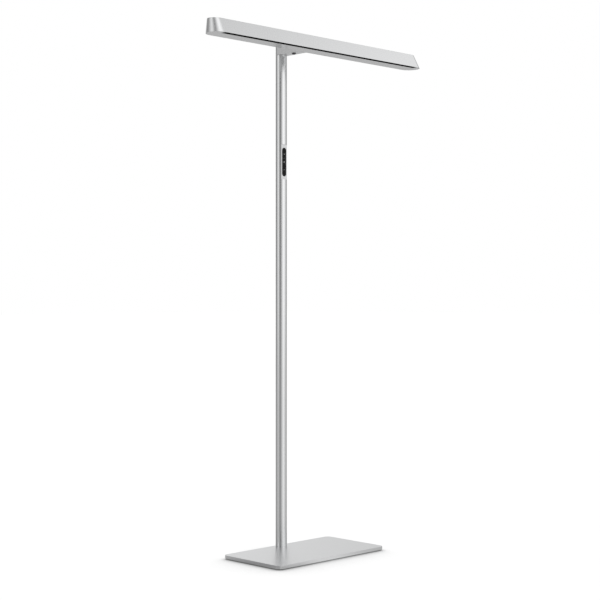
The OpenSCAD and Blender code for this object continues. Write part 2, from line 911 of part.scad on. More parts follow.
// Panel that closes the underside behind and beside the louvre
module underside_panel() {
    color(silver) in_head() difference() {
        translate([0, draft_rate * panel_t, 0])
            linear_extrude(panel_t) stadium(2 * half_straight, radius_at(panel_t) - head_wall - fit);
        translate([-louvre_l / 2 - fit, -head_w, -over])
            cube([louvre_l + 2 * fit, head_w + louvre_back + fit, panel_t + 2 * over]);
        at_clips() rotate([180, 0, 0]) sunk_hole(m3_r, panel_t + over, m3_head_r, m3_head_h);
    }
}

module panel_screws() {
    color(steel) in_head() at_clips() rotate([180, 0, 0])
        sunk_screw(m3_r, panel_t + 7, m3_head_r, m3_head_h);
}

// Profile across the head, with its first axis to the rear and its second up,
// drawn out along X for a length l about the middle
module along_head(l) {
    rotate([90, 0, 90]) linear_extrude(l, center = true) children();
}

// Outline of the louvre's section, set in by side at its front and rear
module louvre_section(side, z1, z2) {
    polygon([
        [front_at(z1) + head_wall + fit + side, z1],
        [louvre_back - side, z1],
        [louvre_back - side, z2],
        [front_at(z2) + head_wall + fit + side, z2]
    ]);
}

// Black louvre: a sloping frame with a row of cells parted by tapered blades,
// and a lip that lies behind the thinned lower edge of the head's front wall
module louvre() {
    color(black) in_head() {
        difference() {
            along_head(louvre_l) louvre_section(0, louvre_z, louvre_top);
            along_head(cells_l - blade_high) louvre_section(louvre_wall, louvre_z - over, louvre_top + over);
        }
        intersection() {
            along_head(louvre_l) louvre_section(louvre_wall / 2, louvre_z, louvre_top);
            for (i = [1 : cells - 1]) blade(-cells_l / 2 + i * cell_pitch);
        }
        along_head(louvre_l) lip_section(lip_wall + fit, louvre_z, louvre_z + lip_t);
        louvre_flanges();
    }
}

// Blade across the channel, thin below and thick above
module blade(x) {
    low = blade_low / 2;
    high = blade_high / 2;
    translate([x, 0, 0]) rotate([90, 0, 0]) linear_extrude(head_w, center = true)
        polygon([[-low, louvre_z], [low, louvre_z], [high, louvre_top], [-high, louvre_top]]);
}

// Ledges that rest on the underside panel
module louvre_flanges() {
    z = panel_t + 0.1;
    y = front_at(z) + head_wall + 2;
    translate([-louvre_l / 2, louvre_back - 0.5, z]) cube([louvre_l, louvre_flange + 0.5, louvre_flange_t]);
    for (side = [-1, 1]) translate([side * louvre_l / 2 - 1.5, y, z])
        cube([3, louvre_back - y, louvre_flange_t]);
}

// Clear strip on top of the louvre with one round optic over each cell
module lens_strip() {
    sink = optic_sink;
    ball = (pow(optic_r, 2) + pow(sink, 2)) / (2 * sink);
    color(clear) in_head() {
        translate([-louvre_l / 2, lens_front, louvre_top]) cube([louvre_l, louvre_back - lens_front, lens_t]);
        for (i = [0 : cells - 1]) translate([-cells_l / 2 + (i + 0.5) * cell_pitch, led_y, louvre_top - sink]) {
            intersection() {
                translate([0, 0, ball]) sphere(r = ball, $fn = fine);
                cylinder(r = optic_r, h = sink + 0.5, $fn = fine);
            }
        }
    }
}

module downlight_board() {
    w = web_front - low_shelf_front;
    color(board_white) in_head() translate([-louvre_l / 2, low_shelf_front, board_z])
        cube([louvre_l, w - fit, board_t]);
}

module downlight_leds() {
    color(led_yellow) in_head() for (i = [0 : cells - 1]) {
        translate([-cells_l / 2 + (i + 0.5) * cell_pitch - chip / 2, led_y - chip / 2, board_z - chip_h])
            cube([chip, chip, chip_h]);
    }
}

// Rail that carries both boards: a web with a shelf to the front and one to the rear
module heat_rail() {
    color(satin) in_head() difference() {
        along_head(louvre_l) rail_section();
        at_blocks() translate([0, 0, up_shelf_z - over])
            cylinder(r = m4_r + screw_fit, h = up_shelf_t + 2 * over, $fn = small);
        translate([-notch_x, notch_y, up_shelf_z - over]) cube([2 * notch_x, head_w, up_shelf_t + 2 * over]);
        for (x = driver_screw_x()) translate([x, driver_screw_y, up_shelf_z - over])
            cylinder(r = m3_r + screw_fit, h = up_shelf_t + 2 * over, $fn = small);
        bar_y(wire_x, web_front - 3, web_back + over, wire_z, wire_hole_r);
        translate([wire_x, wire_low_y, low_shelf_z - over])
            cylinder(r = wire_hole_r, h = low_shelf_t + 2 * over, $fn = small);
        translate([wire_x, wire_high_y, up_shelf_z - over])
            cylinder(r = wire_hole_r, h = up_shelf_t + 2 * over, $fn = small);
    }
}

module rail_section() {
    foot = panel_t + louvre_flange_t + 0.6;
    translate([web_front, foot]) square([web_t, up_board_z - foot]);
    translate([low_shelf_front, low_shelf_z]) square([web_back - low_shelf_front, low_shelf_t]);
    translate([web_front, up_shelf_z]) square([shelf_back - web_front, up_shelf_t]);
    for (z = [low_shelf_z + low_shelf_t : 3 : up_shelf_z - 2]) {
        translate([web_front - 2.5, z]) square([3, 1]);
    }
}

module rail_screws() {
    color(steel) in_head() at_blocks() translate([0, 0, up_board_z])
        pan_screw(m4_r, up_shelf_t + block_h - 1, m4_head_r, m4_head_h);
}

module uplight_board() {
    color(board_white) in_head() translate([-window_l / 2, head_draft - up_board_w / 2, up_board_z])
        cube([window_l, up_board_w, board_t]);
}

module uplight_leds() {
    count = floor((window_l - 20) / up_pitch);
    color(led_yellow) in_head() for (i = [0 : count - 1]) {
        translate([(i - (count - 1) / 2) * up_pitch - chip / 2, head_draft - chip / 2, up_board_z + board_t])
            cube([chip, chip, chip_h]);
    }
}

// Opal strip that fills the window in the top, with a flange below the wall
module uplight_diffuser() {
    top = head_h - head_wall;
    straight = window_l - window_w;
    color(opal) in_head() translate([0, head_draft, 0]) {
        translate([0, 0, top - window_flange_t])
            linear_extrude(window_flange_t) stadium(straight, window_w / 2 + window_flange);
        translate([0, 0, top - 0.1]) linear_extrude(head_wall - 0.2) stadium(straight, window_w / 2 - fit);
    }
}

function driver_screw_x() = [driver_x + driver_screw_inset, driver_x + driver_l - driver_screw_inset];

// Driver: a box whose ends are cut away below, with a screw hole at either end of its top
module driver() {
    color(board_white) in_head() difference() {
        translate([driver_x, driver_y, driver_z]) cube([driver_l, driver_w, driver_h]);
        for (side = [0, 1]) translate([driver_x + side * (driver_l - 25), driver_y - over, driver_z - over])
            cube([25, driver_w + 2 * over, driver_h * 0.35]);
        for (x = driver_screw_x()) translate([x, driver_screw_y, driver_z + driver_h - 8])
            cylinder(r = m3_r + screw_fit, h = 9, $fn = small);
    }
}

module driver_screws() {
    color(steel) in_head() for (x = driver_screw_x()) {
        translate([x, driver_screw_y, up_board_z]) pan_screw(m3_r, up_shelf_t + 6, 2.8, 2);
    }
}

module driver_lead() {
    x1 = terminal_size[0] / 2;
    color(black) in_head() translate([x1, driver_y + 8, terminal_z + 6])
        rotate([0, 90, 0]) cylinder(r = feed_r, h = driver_x - x1, $fn = small);
}

// Leads from the driver's end: one through the web down to the downlight
// board, one up through the shelf to the uplight board
module board_leads() {
    x0 = driver_x + driver_l;
    x1 = wire_x - wire_bend;
    color(black) in_head() {
        for (y = [wire_start_y, wire_high_y]) translate([x0, y, wire_z])
            rotate([0, 90, 0]) cylinder(r = wire_r, h = x1 - x0, $fn = small);
        translate([x1, wire_start_y - wire_bend, wire_z]) quarter_turn(wire_r, wire_bend);
        bar_y(wire_x, wire_low_y + wire_bend, wire_start_y - wire_bend, wire_z, wire_r);
        translate([wire_x, wire_low_y + wire_bend, wire_z - wire_bend])
            rotate([90, 0, 90]) rotate(90) quarter_turn(wire_r, wire_bend);
        translate([wire_x, wire_low_y, low_shelf_z])
            cylinder(r = wire_r, h = wire_z - wire_bend - low_shelf_z, $fn = small);
        translate([x1, wire_high_y, wire_z + wire_bend])
            rotate([90, 0, 0]) rotate(-90) quarter_turn(wire_r, wire_bend);
        translate([wire_x, wire_high_y, wire_z + wire_bend])
            cylinder(r = wire_r, h = up_board_z - wire_z - wire_bend, $fn = small);
    }
}

// Terminal block on the rail's web, with a wire funnel and a screw well for each pole
module terminal_block() {
    s = terminal_size;
    color(board_white) in_head() translate([-s[0] / 2, web_back + fit, terminal_z]) difference() {
        cube(s);
        for (i = [0 : 4]) translate([s[0] * (i + 0.5) / 5, 0, 0]) {
            translate([0, s[1] * 0.5, s[2] - 4]) cylinder(r = 2.2, h = 5, $fn = small);
            translate([0, s[1] + over, 3]) rotate([90, 0, 0]) cylinder(r = 1.4, h = 6, $fn = small);
        }
    }
}

base_plate();
floor_pads();
base_bolts();
foot_plug();
stem_tube();
stem_grubs();
cord_bushing();
lead_coupler();
supply_lead();
control_frame();
control_seat();
key_brighter();
key_power();
key_dimmer();
plunger_brighter();
plunger_power();
plunger_dimmer();
status_window();
control_board();
switch_bodies();
board_screws();
control_lead();
top_plug();
arm_body();
arm_cover();
cover_screws();
arm_screws();
sensor_lens();
sensor_board();
sensor_lead();
head_shell();
neck_bracket();
neck_screws();
underside_panel();
panel_screws();
heat_rail();
rail_screws();
louvre();
lens_strip();
downlight_board();
downlight_leds();
uplight_board();
uplight_leds();
uplight_diffuser();
driver();
driver_screws();
driver_lead();
board_leads();
terminal_block();
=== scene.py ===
"""Looks of an office floor lamp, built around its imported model.

Lengths are in metres, in the model's frame: +X runs along the head, -Y is the
front, +Z is up and the floor lies at zero.
"""

import functools
import json
import logging
import math
from collections.abc import Callable, Sequence
from dataclasses import dataclass
from enum import Enum, IntEnum
from typing import Any, Self

import bmesh
import bpy
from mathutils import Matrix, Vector

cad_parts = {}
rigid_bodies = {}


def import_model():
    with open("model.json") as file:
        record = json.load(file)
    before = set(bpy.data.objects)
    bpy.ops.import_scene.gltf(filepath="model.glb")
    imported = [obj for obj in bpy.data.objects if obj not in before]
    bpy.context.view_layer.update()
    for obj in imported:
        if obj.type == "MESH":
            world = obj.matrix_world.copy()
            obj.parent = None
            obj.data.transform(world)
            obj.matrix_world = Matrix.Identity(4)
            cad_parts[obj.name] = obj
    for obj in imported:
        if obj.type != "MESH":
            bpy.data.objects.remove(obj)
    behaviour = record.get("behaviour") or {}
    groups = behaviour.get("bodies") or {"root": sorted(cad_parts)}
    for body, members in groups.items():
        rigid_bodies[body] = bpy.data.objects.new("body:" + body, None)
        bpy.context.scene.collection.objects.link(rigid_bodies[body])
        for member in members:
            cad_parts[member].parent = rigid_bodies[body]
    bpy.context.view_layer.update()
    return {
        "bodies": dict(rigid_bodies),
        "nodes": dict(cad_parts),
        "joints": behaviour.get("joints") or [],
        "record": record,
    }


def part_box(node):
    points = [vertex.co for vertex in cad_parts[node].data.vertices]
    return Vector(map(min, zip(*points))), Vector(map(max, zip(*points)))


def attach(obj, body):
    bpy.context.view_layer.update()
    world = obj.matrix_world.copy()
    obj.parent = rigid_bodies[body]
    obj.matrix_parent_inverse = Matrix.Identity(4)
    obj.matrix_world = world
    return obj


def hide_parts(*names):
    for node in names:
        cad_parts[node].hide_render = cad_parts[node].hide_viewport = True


LOG = logging.getLogger("floor_lamp")
MM = 0.001
TINY = 2e-5  # places nearer than this are the same
SQUARE = 0.999  # least share of a normal along its axis that shuts out the bevels
SIDES = (-1, 1)
Point = Sequence[float]
Triple = tuple[float, float, float]
Pairs = tuple[tuple[float, float], ...]
Test = Callable[[Vector, Vector], bool]


class Part(Enum):
    """What a pick in edit mode selects."""

    CORNER = "VERT"
    EDGE = "EDGE"
    FACE = "FACE"


class Axis(IntEnum):
    """Axes of the model's frame, as places in a vector."""

    X = 0
    Y = 1
    Z = 2


class Body(Enum):
    """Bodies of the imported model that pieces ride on."""

    LAMP = "lamp"
    BRIGHTER = "brighter_key"
    POWER = "power_key"
    DIMMER = "dimmer_key"


X, Y, Z = Axis
KEYS = {Body.BRIGHTER: "key_brighter", Body.POWER: "key_power", Body.DIMMER: "key_dimmer"}


# ---------- tests of a middle and a direction ----------


def near(value: float, target: float) -> bool:
    """Whether a value is a target to within a hair."""
    return abs(value - target) < TINY


def level(axis: Axis, *places: float) -> Test:
    """Tests for a middle at one of some places on an axis."""
    return lambda at, way: any(near(at[axis], place) for place in places)


def runs(axis: Axis, least: float = 0.9) -> Test:
    """Tests for a direction along an axis, either way."""
    return lambda at, way: abs(way[axis]) > least


def faces(axis: Axis, side: int, least: float = 0.9) -> Test:
    """Tests for a direction towards one side of an axis."""
    return lambda at, way: way[axis] * side > least


def centred(axis: Axis, centre: Vector) -> Test:
    """Tests for a middle on the line along an axis through a centre."""
    return lambda at, way: all(i == axis or near(at[i], centre[i]) for i in Axis)


# ---------- the bench ----------


def clear_bench() -> None:
    """Goes back to object mode with nothing selected."""
    if bpy.context.mode != "OBJECT":
        bpy.ops.object.mode_set(mode="OBJECT")
    bpy.ops.object.select_all(action="DESELECT")


def middle_of(node: str) -> Vector:
    """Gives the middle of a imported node's box."""
    low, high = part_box(node)
    return (low + high) / 2


def stem_axis() -> Vector:
    """Gives a point on the stem's axis."""
    return middle_of("stem_tube")


class Workpiece:
    """A mesh on the bench, shaped with the modelling operators."""

    def __init__(self, name: str) -> None:
        """Takes the object that was just added.

        Args:
            name: The piece's name.
        """
        self.obj = bpy.context.view_layer.objects.active
        self.obj.name = self.obj.data.name = name
        bpy.ops.object.transform_apply(location=True, rotation=True, scale=True)

    @classmethod
    def block(cls, name: str, low: Point, high: Point) -> Self:
        """Adds a block.

        Args:
            name: The piece's name.
            low: Its lowest corner.
            high: Its highest corner.

        Returns:
            The workpiece.
        """
        clear_bench()
        low, high = Vector(low), Vector(high)
        bpy.ops.mesh.primitive_cube_add(size=1, location=(low + high) / 2, scale=high - low)
        return cls(name)

    @classmethod
    def stadium(cls, name: str, low: Point, high: Point, axis: Axis, steps: int = 24) -> Self:
        """Adds a block with round ends.

        Args:
            name: The piece's name.
            low: Its lowest corner.
            high: Its highest corner.
            axis: The axis that its thickness lies on.
            steps: How many facets a quarter circle has.

        Returns:
            The workpiece.
        """
        width = min(high[i] - low[i] for i in Axis if i != axis)
        return cls.block(name, low, high).pick(Part.EDGE, runs(axis)).bevel(width / 2, steps).weld()

    @classmethod
    def rod(
        cls,
        name: str,
        at: Point,
        axis: Axis,
        span: tuple[float, float],
        radius: float,
        sides: int = 64,
        end_radius: float | None = None,
    ) -> Self:
        """Adds a round bar or cone along an axis.

        Args:
            name: The piece's name.
            at: A point on its middle line.
            axis: The axis that it runs along.
            span: Where it starts and ends on that axis.
            radius: Its radius at the start.
            sides: How many sides it has.
            end_radius: Its radius at the end, if that differs.

        Returns:
            The workpiece.
        """
        clear_bench()
        start, end = Vector(at), Vector(at)
        start[axis], end[axis] = span
        along = end - start
        bpy.ops.mesh.primitive_cone_add(
            vertices=sides,
            radius1=radius,
            radius2=radius if end_radius is None else end_radius,
            depth=along.length,
            location=(start + end) / 2,
            rotation=along.to_track_quat("Z", "Y").to_euler(),
        )
        return cls(name)

    def done(self) -> Self:
        """Leaves edit mode with the piece active and alone selected.

        Returns:
            The workpiece.
        """
        clear_bench()
        self.obj.select_set(True)
        bpy.context.view_layer.objects.active = self.obj
        return self

    def pick(self, part: Part, *tests: Test) -> Self:
        """Selects what passes all tests, in edit mode.

        Args:
            part: Whether corners, edges or faces are tested.
            *tests: Each takes a middle and a direction, which is a face's or
                a corner's normal or the way that an edge runs.

        Returns:
            The workpiece.
        """
        if bpy.context.mode != "EDIT_MESH":
            self.done()
            bpy.ops.object.mode_set(mode="EDIT")
        bpy.ops.mesh.select_mode(type=part.value)
        bpy.ops.mesh.select_all(action="DESELECT")
        mesh = bmesh.from_edit_mesh(self.obj.data)
        if part is Part.FACE:
            found = [(face, face.calc_center_median(), face.normal) for face in mesh.faces]
        elif part is Part.EDGE:
            ends = [(edge, *(corner.co for corner in edge.verts)) for edge in mesh.edges]
            found = [(edge, (a + b) / 2, (b - a).normalized()) for edge, a, b in ends]
        else:
            found = [(corner, corner.co, corner.normal) for corner in mesh.verts]
        for element, at, way in found:
            element.select_set(all(test(at, way) for test in tests))
        mesh.select_flush_mode()
        bmesh.update_edit_mesh(self.obj.data)
        return self

    def bevel(self, width: float, steps: int) -> Self:
        """Rounds the picked edges by a width, in some steps."""
        bpy.ops.mesh.bevel(offset=width, segments=steps, affect="EDGES", clamp_overlap=True)
        return self

    def inset(self, width: float, depth: float = 0.0) -> Self:
        """Insets the picked faces as one region, and moves the new ones out by depth."""
        bpy.ops.mesh.inset(thickness=width, depth=depth, use_even_offset=True)
        return self

    def extrude(self, way: Point) -> Self:
        """Draws the picked faces out by a vector."""
        bpy.ops.mesh.extrude_region_move(TRANSFORM_OT_translate={"value": way})
        return self

    def move(self, way: Point) -> Self:
        """Moves what is picked by a vector."""
        bpy.ops.transform.translate(value=way)
        return self

    def resize(self, scale: Point, centre: Point) -> Self:
        """Scales what is picked about a centre."""
        bpy.ops.transform.resize(value=scale, center_override=centre)
        return self

    def bridge(self) -> Self:
        """Opens a channel between two picked faces."""
        bpy.ops.mesh.bridge_edge_loops()
        return self

    def weld(self) -> Self:
        """Merges corners that lie on each other and turns all faces outwards.

        Returns:
            The workpiece.
        """
        self.pick(Part.CORNER)
        bpy.ops.mesh.remove_doubles(threshold=1e-6)
        bpy.ops.mesh.normals_make_consistent(inside=False)
        return self.done()

    def modify(self, kind: str, **settings: Any) -> Self:
        """Adds a modifier and applies it.

        Args:
            kind: The modifier's type.
            **settings: Its settings.

        Returns:
            The workpiece.
        """
        self.done()
        modifier = self.obj.modifiers.new(kind.lower(), kind)
        for name, value in settings.items():
            setattr(modifier, name, value)
        bpy.ops.object.modifier_apply(modifier=modifier.name)
        return self

    def combine(self, tools: Sequence[Self], operation: str = "DIFFERENCE") -> Self:
        """Cuts tools out of the piece, or meets or unites it with them, and scraps them.

        Args:
            tools: The workpieces that are used up.
            operation: The Boolean modifier's operation.

        Returns:
            The workpiece.
        """
        for tool in tools:
            self.modify("BOOLEAN", object=tool.obj, operation=operation, solver="EXACT")
            bpy.data.objects.remove(tool.obj, do_unlink=True)
        return self

    def copy(self, way: Point = (0, 0, 0)) -> Self:
        """Copies the piece with its own mesh.

        Args:
            way: How far the copy is moved.

        Returns:
            The copy.
        """
        self.done()
        bpy.ops.object.duplicate(linked=False)
        return Workpiece(self.obj.name + "_copy").pick(Part.CORNER).move(way).done()

    def join(self, others: Sequence[Self]) -> Self:
        """Makes other workpieces a part of this one.

        Args:
            others: The workpieces, which are used up.

        Returns:
            The workpiece.
        """
        self.done()
        for other in others:
            other.obj.select_set(True)
        bpy.ops.object.join()
        return self

    def dress(
        self,
        finish: "Finish",
        *nodes: str,
        body: Body = Body.LAMP,
        slot: str | None = None,
        crease: float = 30.0,
    ) -> None:
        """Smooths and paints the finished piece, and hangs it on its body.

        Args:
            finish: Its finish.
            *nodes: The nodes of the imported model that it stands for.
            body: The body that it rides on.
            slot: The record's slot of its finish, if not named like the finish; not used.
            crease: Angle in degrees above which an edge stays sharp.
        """
        self.weld()
        bpy.ops.object.shade_smooth_by_angle(angle=math.radians(crease))
        self.modify("WEIGHTED_NORMAL", keep_sharp=True, weight=50)
        self.obj.data.materials.clear()
        self.obj.data.materials.append(paint(finish))
        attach(self.obj, body.value)
        if nodes:
            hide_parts(*nodes)
        LOG.info("%s: %d faces, for %s", self.obj.name, len(self.obj.data.polygons), list(nodes))


@dataclass(frozen=True)
class Countersink:
    """Seat of a countersunk screw, larger than its head by some play, with the hole behind it."""

    head_r: float = 2.9 * MM
    hole_r: float = 1.6 * MM
    head_h: float = 1.6 * MM
    sides: int = 32
    play: float = 0.1 * MM

    def tools(self, at: Point, face: float, into: int, end: float | None = None) -> list[Workpiece]:
        """Makes the tools that cut the seat and its hole.

        Args:
            at: The screw's place.
            face: Z of the face that its head lies in.
            into: 1 where it goes up into the piece, -1 where it goes down.
            end: Z of the hole's end, if it goes on behind the seat.

        Returns:
            The tools.
        """
        span = face - into * TINY, face + into * self.head_h
        tools = [Workpiece.rod("sink", at, Z, span, self.head_r, self.sides, self.hole_r)]
        if end is not None:
            tools.append(Workpiece.rod("hole", at, Z, (face + into * MM, end), self.hole_r, self.sides))
        return tools


# ---------- materials ----------


@dataclass
class Wire:
    """An output of a node, on which Python's operators add Math nodes."""

    graph: "Graph"
    socket: bpy.types.NodeSocket

    def _with(self, operation: str, first: Any, second: Any) -> Self:
        """Adds a Math node on two values or wires."""
        return self.graph.node("Math", {"operation": operation}, {0: first, 1: second})

    def __add__(self, other: Self | float) -> Self:
        """Adds."""
        return self._with("ADD", self, other)

    def __sub__(self, other: Self | float) -> Self:
        """Subtracts."""
        return self._with("SUBTRACT", self, other)

    def __rsub__(self, other: float) -> Self:
        """Subtracts from a number."""
        return self._with("SUBTRACT", other, self)

    def __mul__(self, other: Self | float) -> Self:
        """Multiplies."""
        return self._with("MULTIPLY", self, other)

    def __pow__(self, other: Self | float) -> Self:
        """Raises to a power."""
        return self._with("POWER", self, other)

    __radd__ = __add__
    __rmul__ = __mul__


class Graph:
    """Nodes of one material or world."""

    def __init__(self, owner: bpy.types.Material | bpy.types.World) -> None:
        """Empties the owner's tree and adds its output.

        Args:
            owner: The material or world.
        """
        owner.use_nodes = True
        self.tree = owner.node_tree
        self.tree.nodes.clear()
        kind = "World" if isinstance(owner, bpy.types.World) else "Material"
        self.output = self.tree.nodes.new("ShaderNodeOutput" + kind)

    def node(
        self,
        kind: str,
        settings: dict[str, Any] | None = None,
        inputs: dict[str | int, Any] | None = None,
        out: str | int = 0,
    ) -> Wire:
        """Adds a node.

        Args:
            kind: Its type, without the "ShaderNode" that all types start with.
            settings: Its settings, which are set first. A ramp's "stops" are
                pairs of a place and a grey.
            inputs: Values or wires of its sockets.
            out: The output that is used.

        Returns:
            That output.
        """
        node = self.tree.nodes.new("ShaderNode" + kind)
        for name, value in (settings or {}).items():
            if name == "stops":
                self._set_stops(node.color_ramp, value)
            else:
                setattr(node, name, value)
        for name, value in (inputs or {}).items():
            if isinstance(value, Wire):
                self.tree.links.new(value.socket, node.inputs[name])
            else:
                node.inputs[name].default_value = value
        return Wire(self, node.outputs[out])

    @staticmethod
    def _set_stops(ramp: bpy.types.ColorRamp, stops: Sequence[tuple[float, float]]) -> None:
        """Puts the stops on a ramp of greys and runs a smooth curve through them.

        Args:
            ramp: The ramp.
            stops: Pairs of a place and a grey.
        """
        ramp.interpolation = "CARDINAL"
        while len(ramp.elements) < len(stops):
            ramp.elements.new(1.0)
        for element, (place, grey) in zip(ramp.elements, stops):
            element.position = place
            element.color = (grey, grey, grey, 1)

    def finish(self, surface: Wire) -> None:
        """Links a shader to the output."""
        self.tree.links.new(surface.socket, self.output.inputs["Surface"])

    def place(self, scale: Triple = (1, 1, 1)) -> Wire:
        """Gives the object's coordinates, scaled along each axis."""
        at = self.node("TexCoord", out="Object")
        return self.node("Mapping", inputs={"Vector": at, "Scale": scale})

    def noise(self, at: Wire, scale: float, detail: float) -> Wire:
        """Gives a noise from 0 to 1.

        Args:
            at: The coordinates.
            scale: How fine it is, in cells a metre.
            detail: How many finer layers it has.

        Returns:
            The noise.
        """
        inputs = {"Vector": at, "Scale": scale, "Detail": detail}
        return self.node("TexNoise", inputs=inputs, out="Fac")

    def bump(self, height: Wire, depth: float, strength: float) -> Wire:
        """Gives a normal from a height.

        Args:
            height: The height, from 0 to 1.
            depth: How high 1 is, in metres.
            strength: How much of it shows.

        Returns:
            The normal.
        """
        inputs = {"Height": height, "Distance": depth, "Strength": strength}
        return self.node("Bump", inputs=inputs, out="Normal")

    def blend(self, share: Wire, first: Any, second: Any) -> Wire:
        """Mixes two colours.

        Args:
            share: How much of the second there is.
            first: A colour or a wire.
            second: A colour or a wire.

        Returns:
            The mixed colour.
        """
        first, second = ((*c, 1) if isinstance(c, tuple) else c for c in (first, second))
        return self.node("Mix", {"data_type": "RGBA"}, {0: share, 6: first, 7: second}, out=2)


def shade(colour: Triple, factor: float) -> Triple:
    """Makes a colour lighter or darker by a factor."""
    return tuple(min(1.0, channel * factor) for channel in colour)


@dataclass(frozen=True)
class Surface:
    """What all finishes share: a name, a colour and a roughness."""

    name: str
    colour: Triple
    roughness: float

    def inputs(self, graph: Graph) -> dict[str, Any]:
        """Gives what the shader's sockets get."""
        raise NotImplementedError

    def tones(self, spread: float) -> tuple[Triple, Triple]:
        """Gives a darker and a lighter tone of the colour, both off it by a share."""
        return shade(self.colour, 1 - spread), shade(self.colour, 1 + spread)

    def uneven(self, *layers: tuple[Wire, float]) -> Wire:
        """Gives the roughness, which each noise from 0 to 1 spreads over a width."""
        return sum(((noise - 0.5) * width for noise, width in layers), self.roughness)

    def material(self) -> bpy.types.Material:
        """Builds the material.

        Returns:
            The material.
        """
        material = bpy.data.materials.new(self.name)
        graph = Graph(material)
        graph.finish(graph.node("BsdfPrincipled", inputs=self.inputs(graph)))
        return material


@dataclass(frozen=True)
class Metal(Surface):
    """Metal finish with a fine grain that runs along one axis."""

    grain: Triple = (1.0, 1.0, 1.0)
    grain_scale: float = 1800.0
    depth: float = 0.00002
    grain_detail: float = 3.0
    grain_share: float = 0.4
    grain_rough: float = 0.10
    mottle: float = 0.03
    mottle_scale: float = 9.0
    mottle_detail: float = 4.0
    mottle_rough: float = 0.06
    relief: float = 0.5

    def inputs(self, graph: Graph) -> dict[str, Any]:
        """Gives what the shader's sockets get.

        Args:
            graph: The material's nodes.

        Returns:
            Values and wires by socket.
        """
        fine = graph.noise(graph.place(self.grain), self.grain_scale, self.grain_detail)
        broad = graph.noise(graph.place(), self.mottle_scale, self.mottle_detail)
        share = broad * (1 - self.grain_share) + fine * self.grain_share
        return {
            "Base Color": graph.blend(share, *self.tones(self.mottle)),
            "Metallic": 1.0,
            "Roughness": self.uneven((fine, self.grain_rough), (broad, self.mottle_rough)),
            "Normal": graph.bump(fine, self.depth, self.relief),
        }


@dataclass(frozen=True)
class Moulding(Surface):
    """Plastic or rubber with a moulded texture."""

    texture_scale: float = 2600.0
    depth: float = 0.00003
    specular: float = 0.5
    coat: float = 0.0
    coat_rough: float = 0.12
    texture_detail: float = 1.0
    texture_rough: float = 0.12
    mottle: float = 0.12
    mottle_scale: float = 60.0
    mottle_detail: float = 3.0
    mottle_rough: float = 0.08
    relief: float = 0.6

    def inputs(self, graph: Graph) -> dict[str, Any]:
        """Gives what the shader's sockets get.

        Args:
            graph: The material's nodes.

        Returns:
            Values and wires by socket.
        """
        at = graph.place()
        fine = graph.noise(at, self.texture_scale, self.texture_detail)
        broad = graph.noise(at, self.mottle_scale, self.mottle_detail)
        return {
            "Base Color": graph.blend(broad, *self.tones(self.mottle)),
            "Roughness": self.uneven((fine, self.texture_rough), (broad, self.mottle_rough)),
            "Specular IOR Level": self.specular,
            "Coat Weight": self.coat,
            "Coat Roughness": self.coat_rough,
            "Normal": graph.bump(fine, self.depth, self.relief),
        }


@dataclass(frozen=True)
class ClearPlastic(Surface):
    """Clear or tinted plastic that light goes through."""

    transmission: float = 1.0
    ior: float = 1.49
    cloud: float = 0.03
    ripple_scale: float = 350.0
    ripple_detail: float = 2.0
    ripple_rough: float = 0.05
    depth: float = 0.00001
    relief: float = 0.3

    def inputs(self, graph: Graph) -> dict[str, Any]:
        """Gives what the shader's sockets get.

        Args:
            graph: The material's nodes.

        Returns:
            Values and wires by socket.
        """
        ripple = graph.noise(graph.place(), self.ripple_scale, self.ripple_detail)
        return {
            "Base Color": graph.blend(ripple, self.tones(self.cloud)[0], self.colour),
            "Roughness": self.uneven((ripple, self.ripple_rough)),
            "IOR": self.ior,
            "Transmission Weight": self.transmission,
            "Normal": graph.bump(ripple, self.depth, self.relief),
        }


@dataclass(frozen=True)
class CircuitBoard(Surface):
    """Solder mask with tracks that show through it."""

    track: Triple
    cells: float = 500.0
    track_width: float = 0.06
    track_blur: float = 0.3
    track_share: float = 0.7
    weave_scale: float = 1400.0
    weave_detail: float = 2.0
    weave_share: float = 0.2
    weave_rough: float = 0.1
    coat: float = 0.3
    coat_rough: float = 0.1
    depth: float = 0.00004
    relief: float = 0.5

    def inputs(self, graph: Graph) -> dict[str, Any]:
        """Gives what the shader's sockets get.

        Args:
            graph: The material's nodes.

        Returns:
            Values and wires by socket.
        """
        at = graph.place()
        lines = {"Mortar Size": self.track_width, "Mortar Smooth": self.track_blur}
        grid = {"Vector": at, "Scale": self.cells, **lines}
        tracks = graph.node("TexBrick", {"offset": 0.5}, grid, out="Fac")
        weave = graph.noise(at, self.weave_scale, self.weave_detail)
        share = tracks * self.track_share + weave * self.weave_share
        return {
            "Base Color": graph.blend(share, self.colour, self.track),
            "Roughness": self.uneven((weave, self.weave_rough)),
            "Coat Weight": self.coat,
            "Coat Roughness": self.coat_rough,
            "Normal": graph.bump(tracks, self.depth, self.relief),
        }


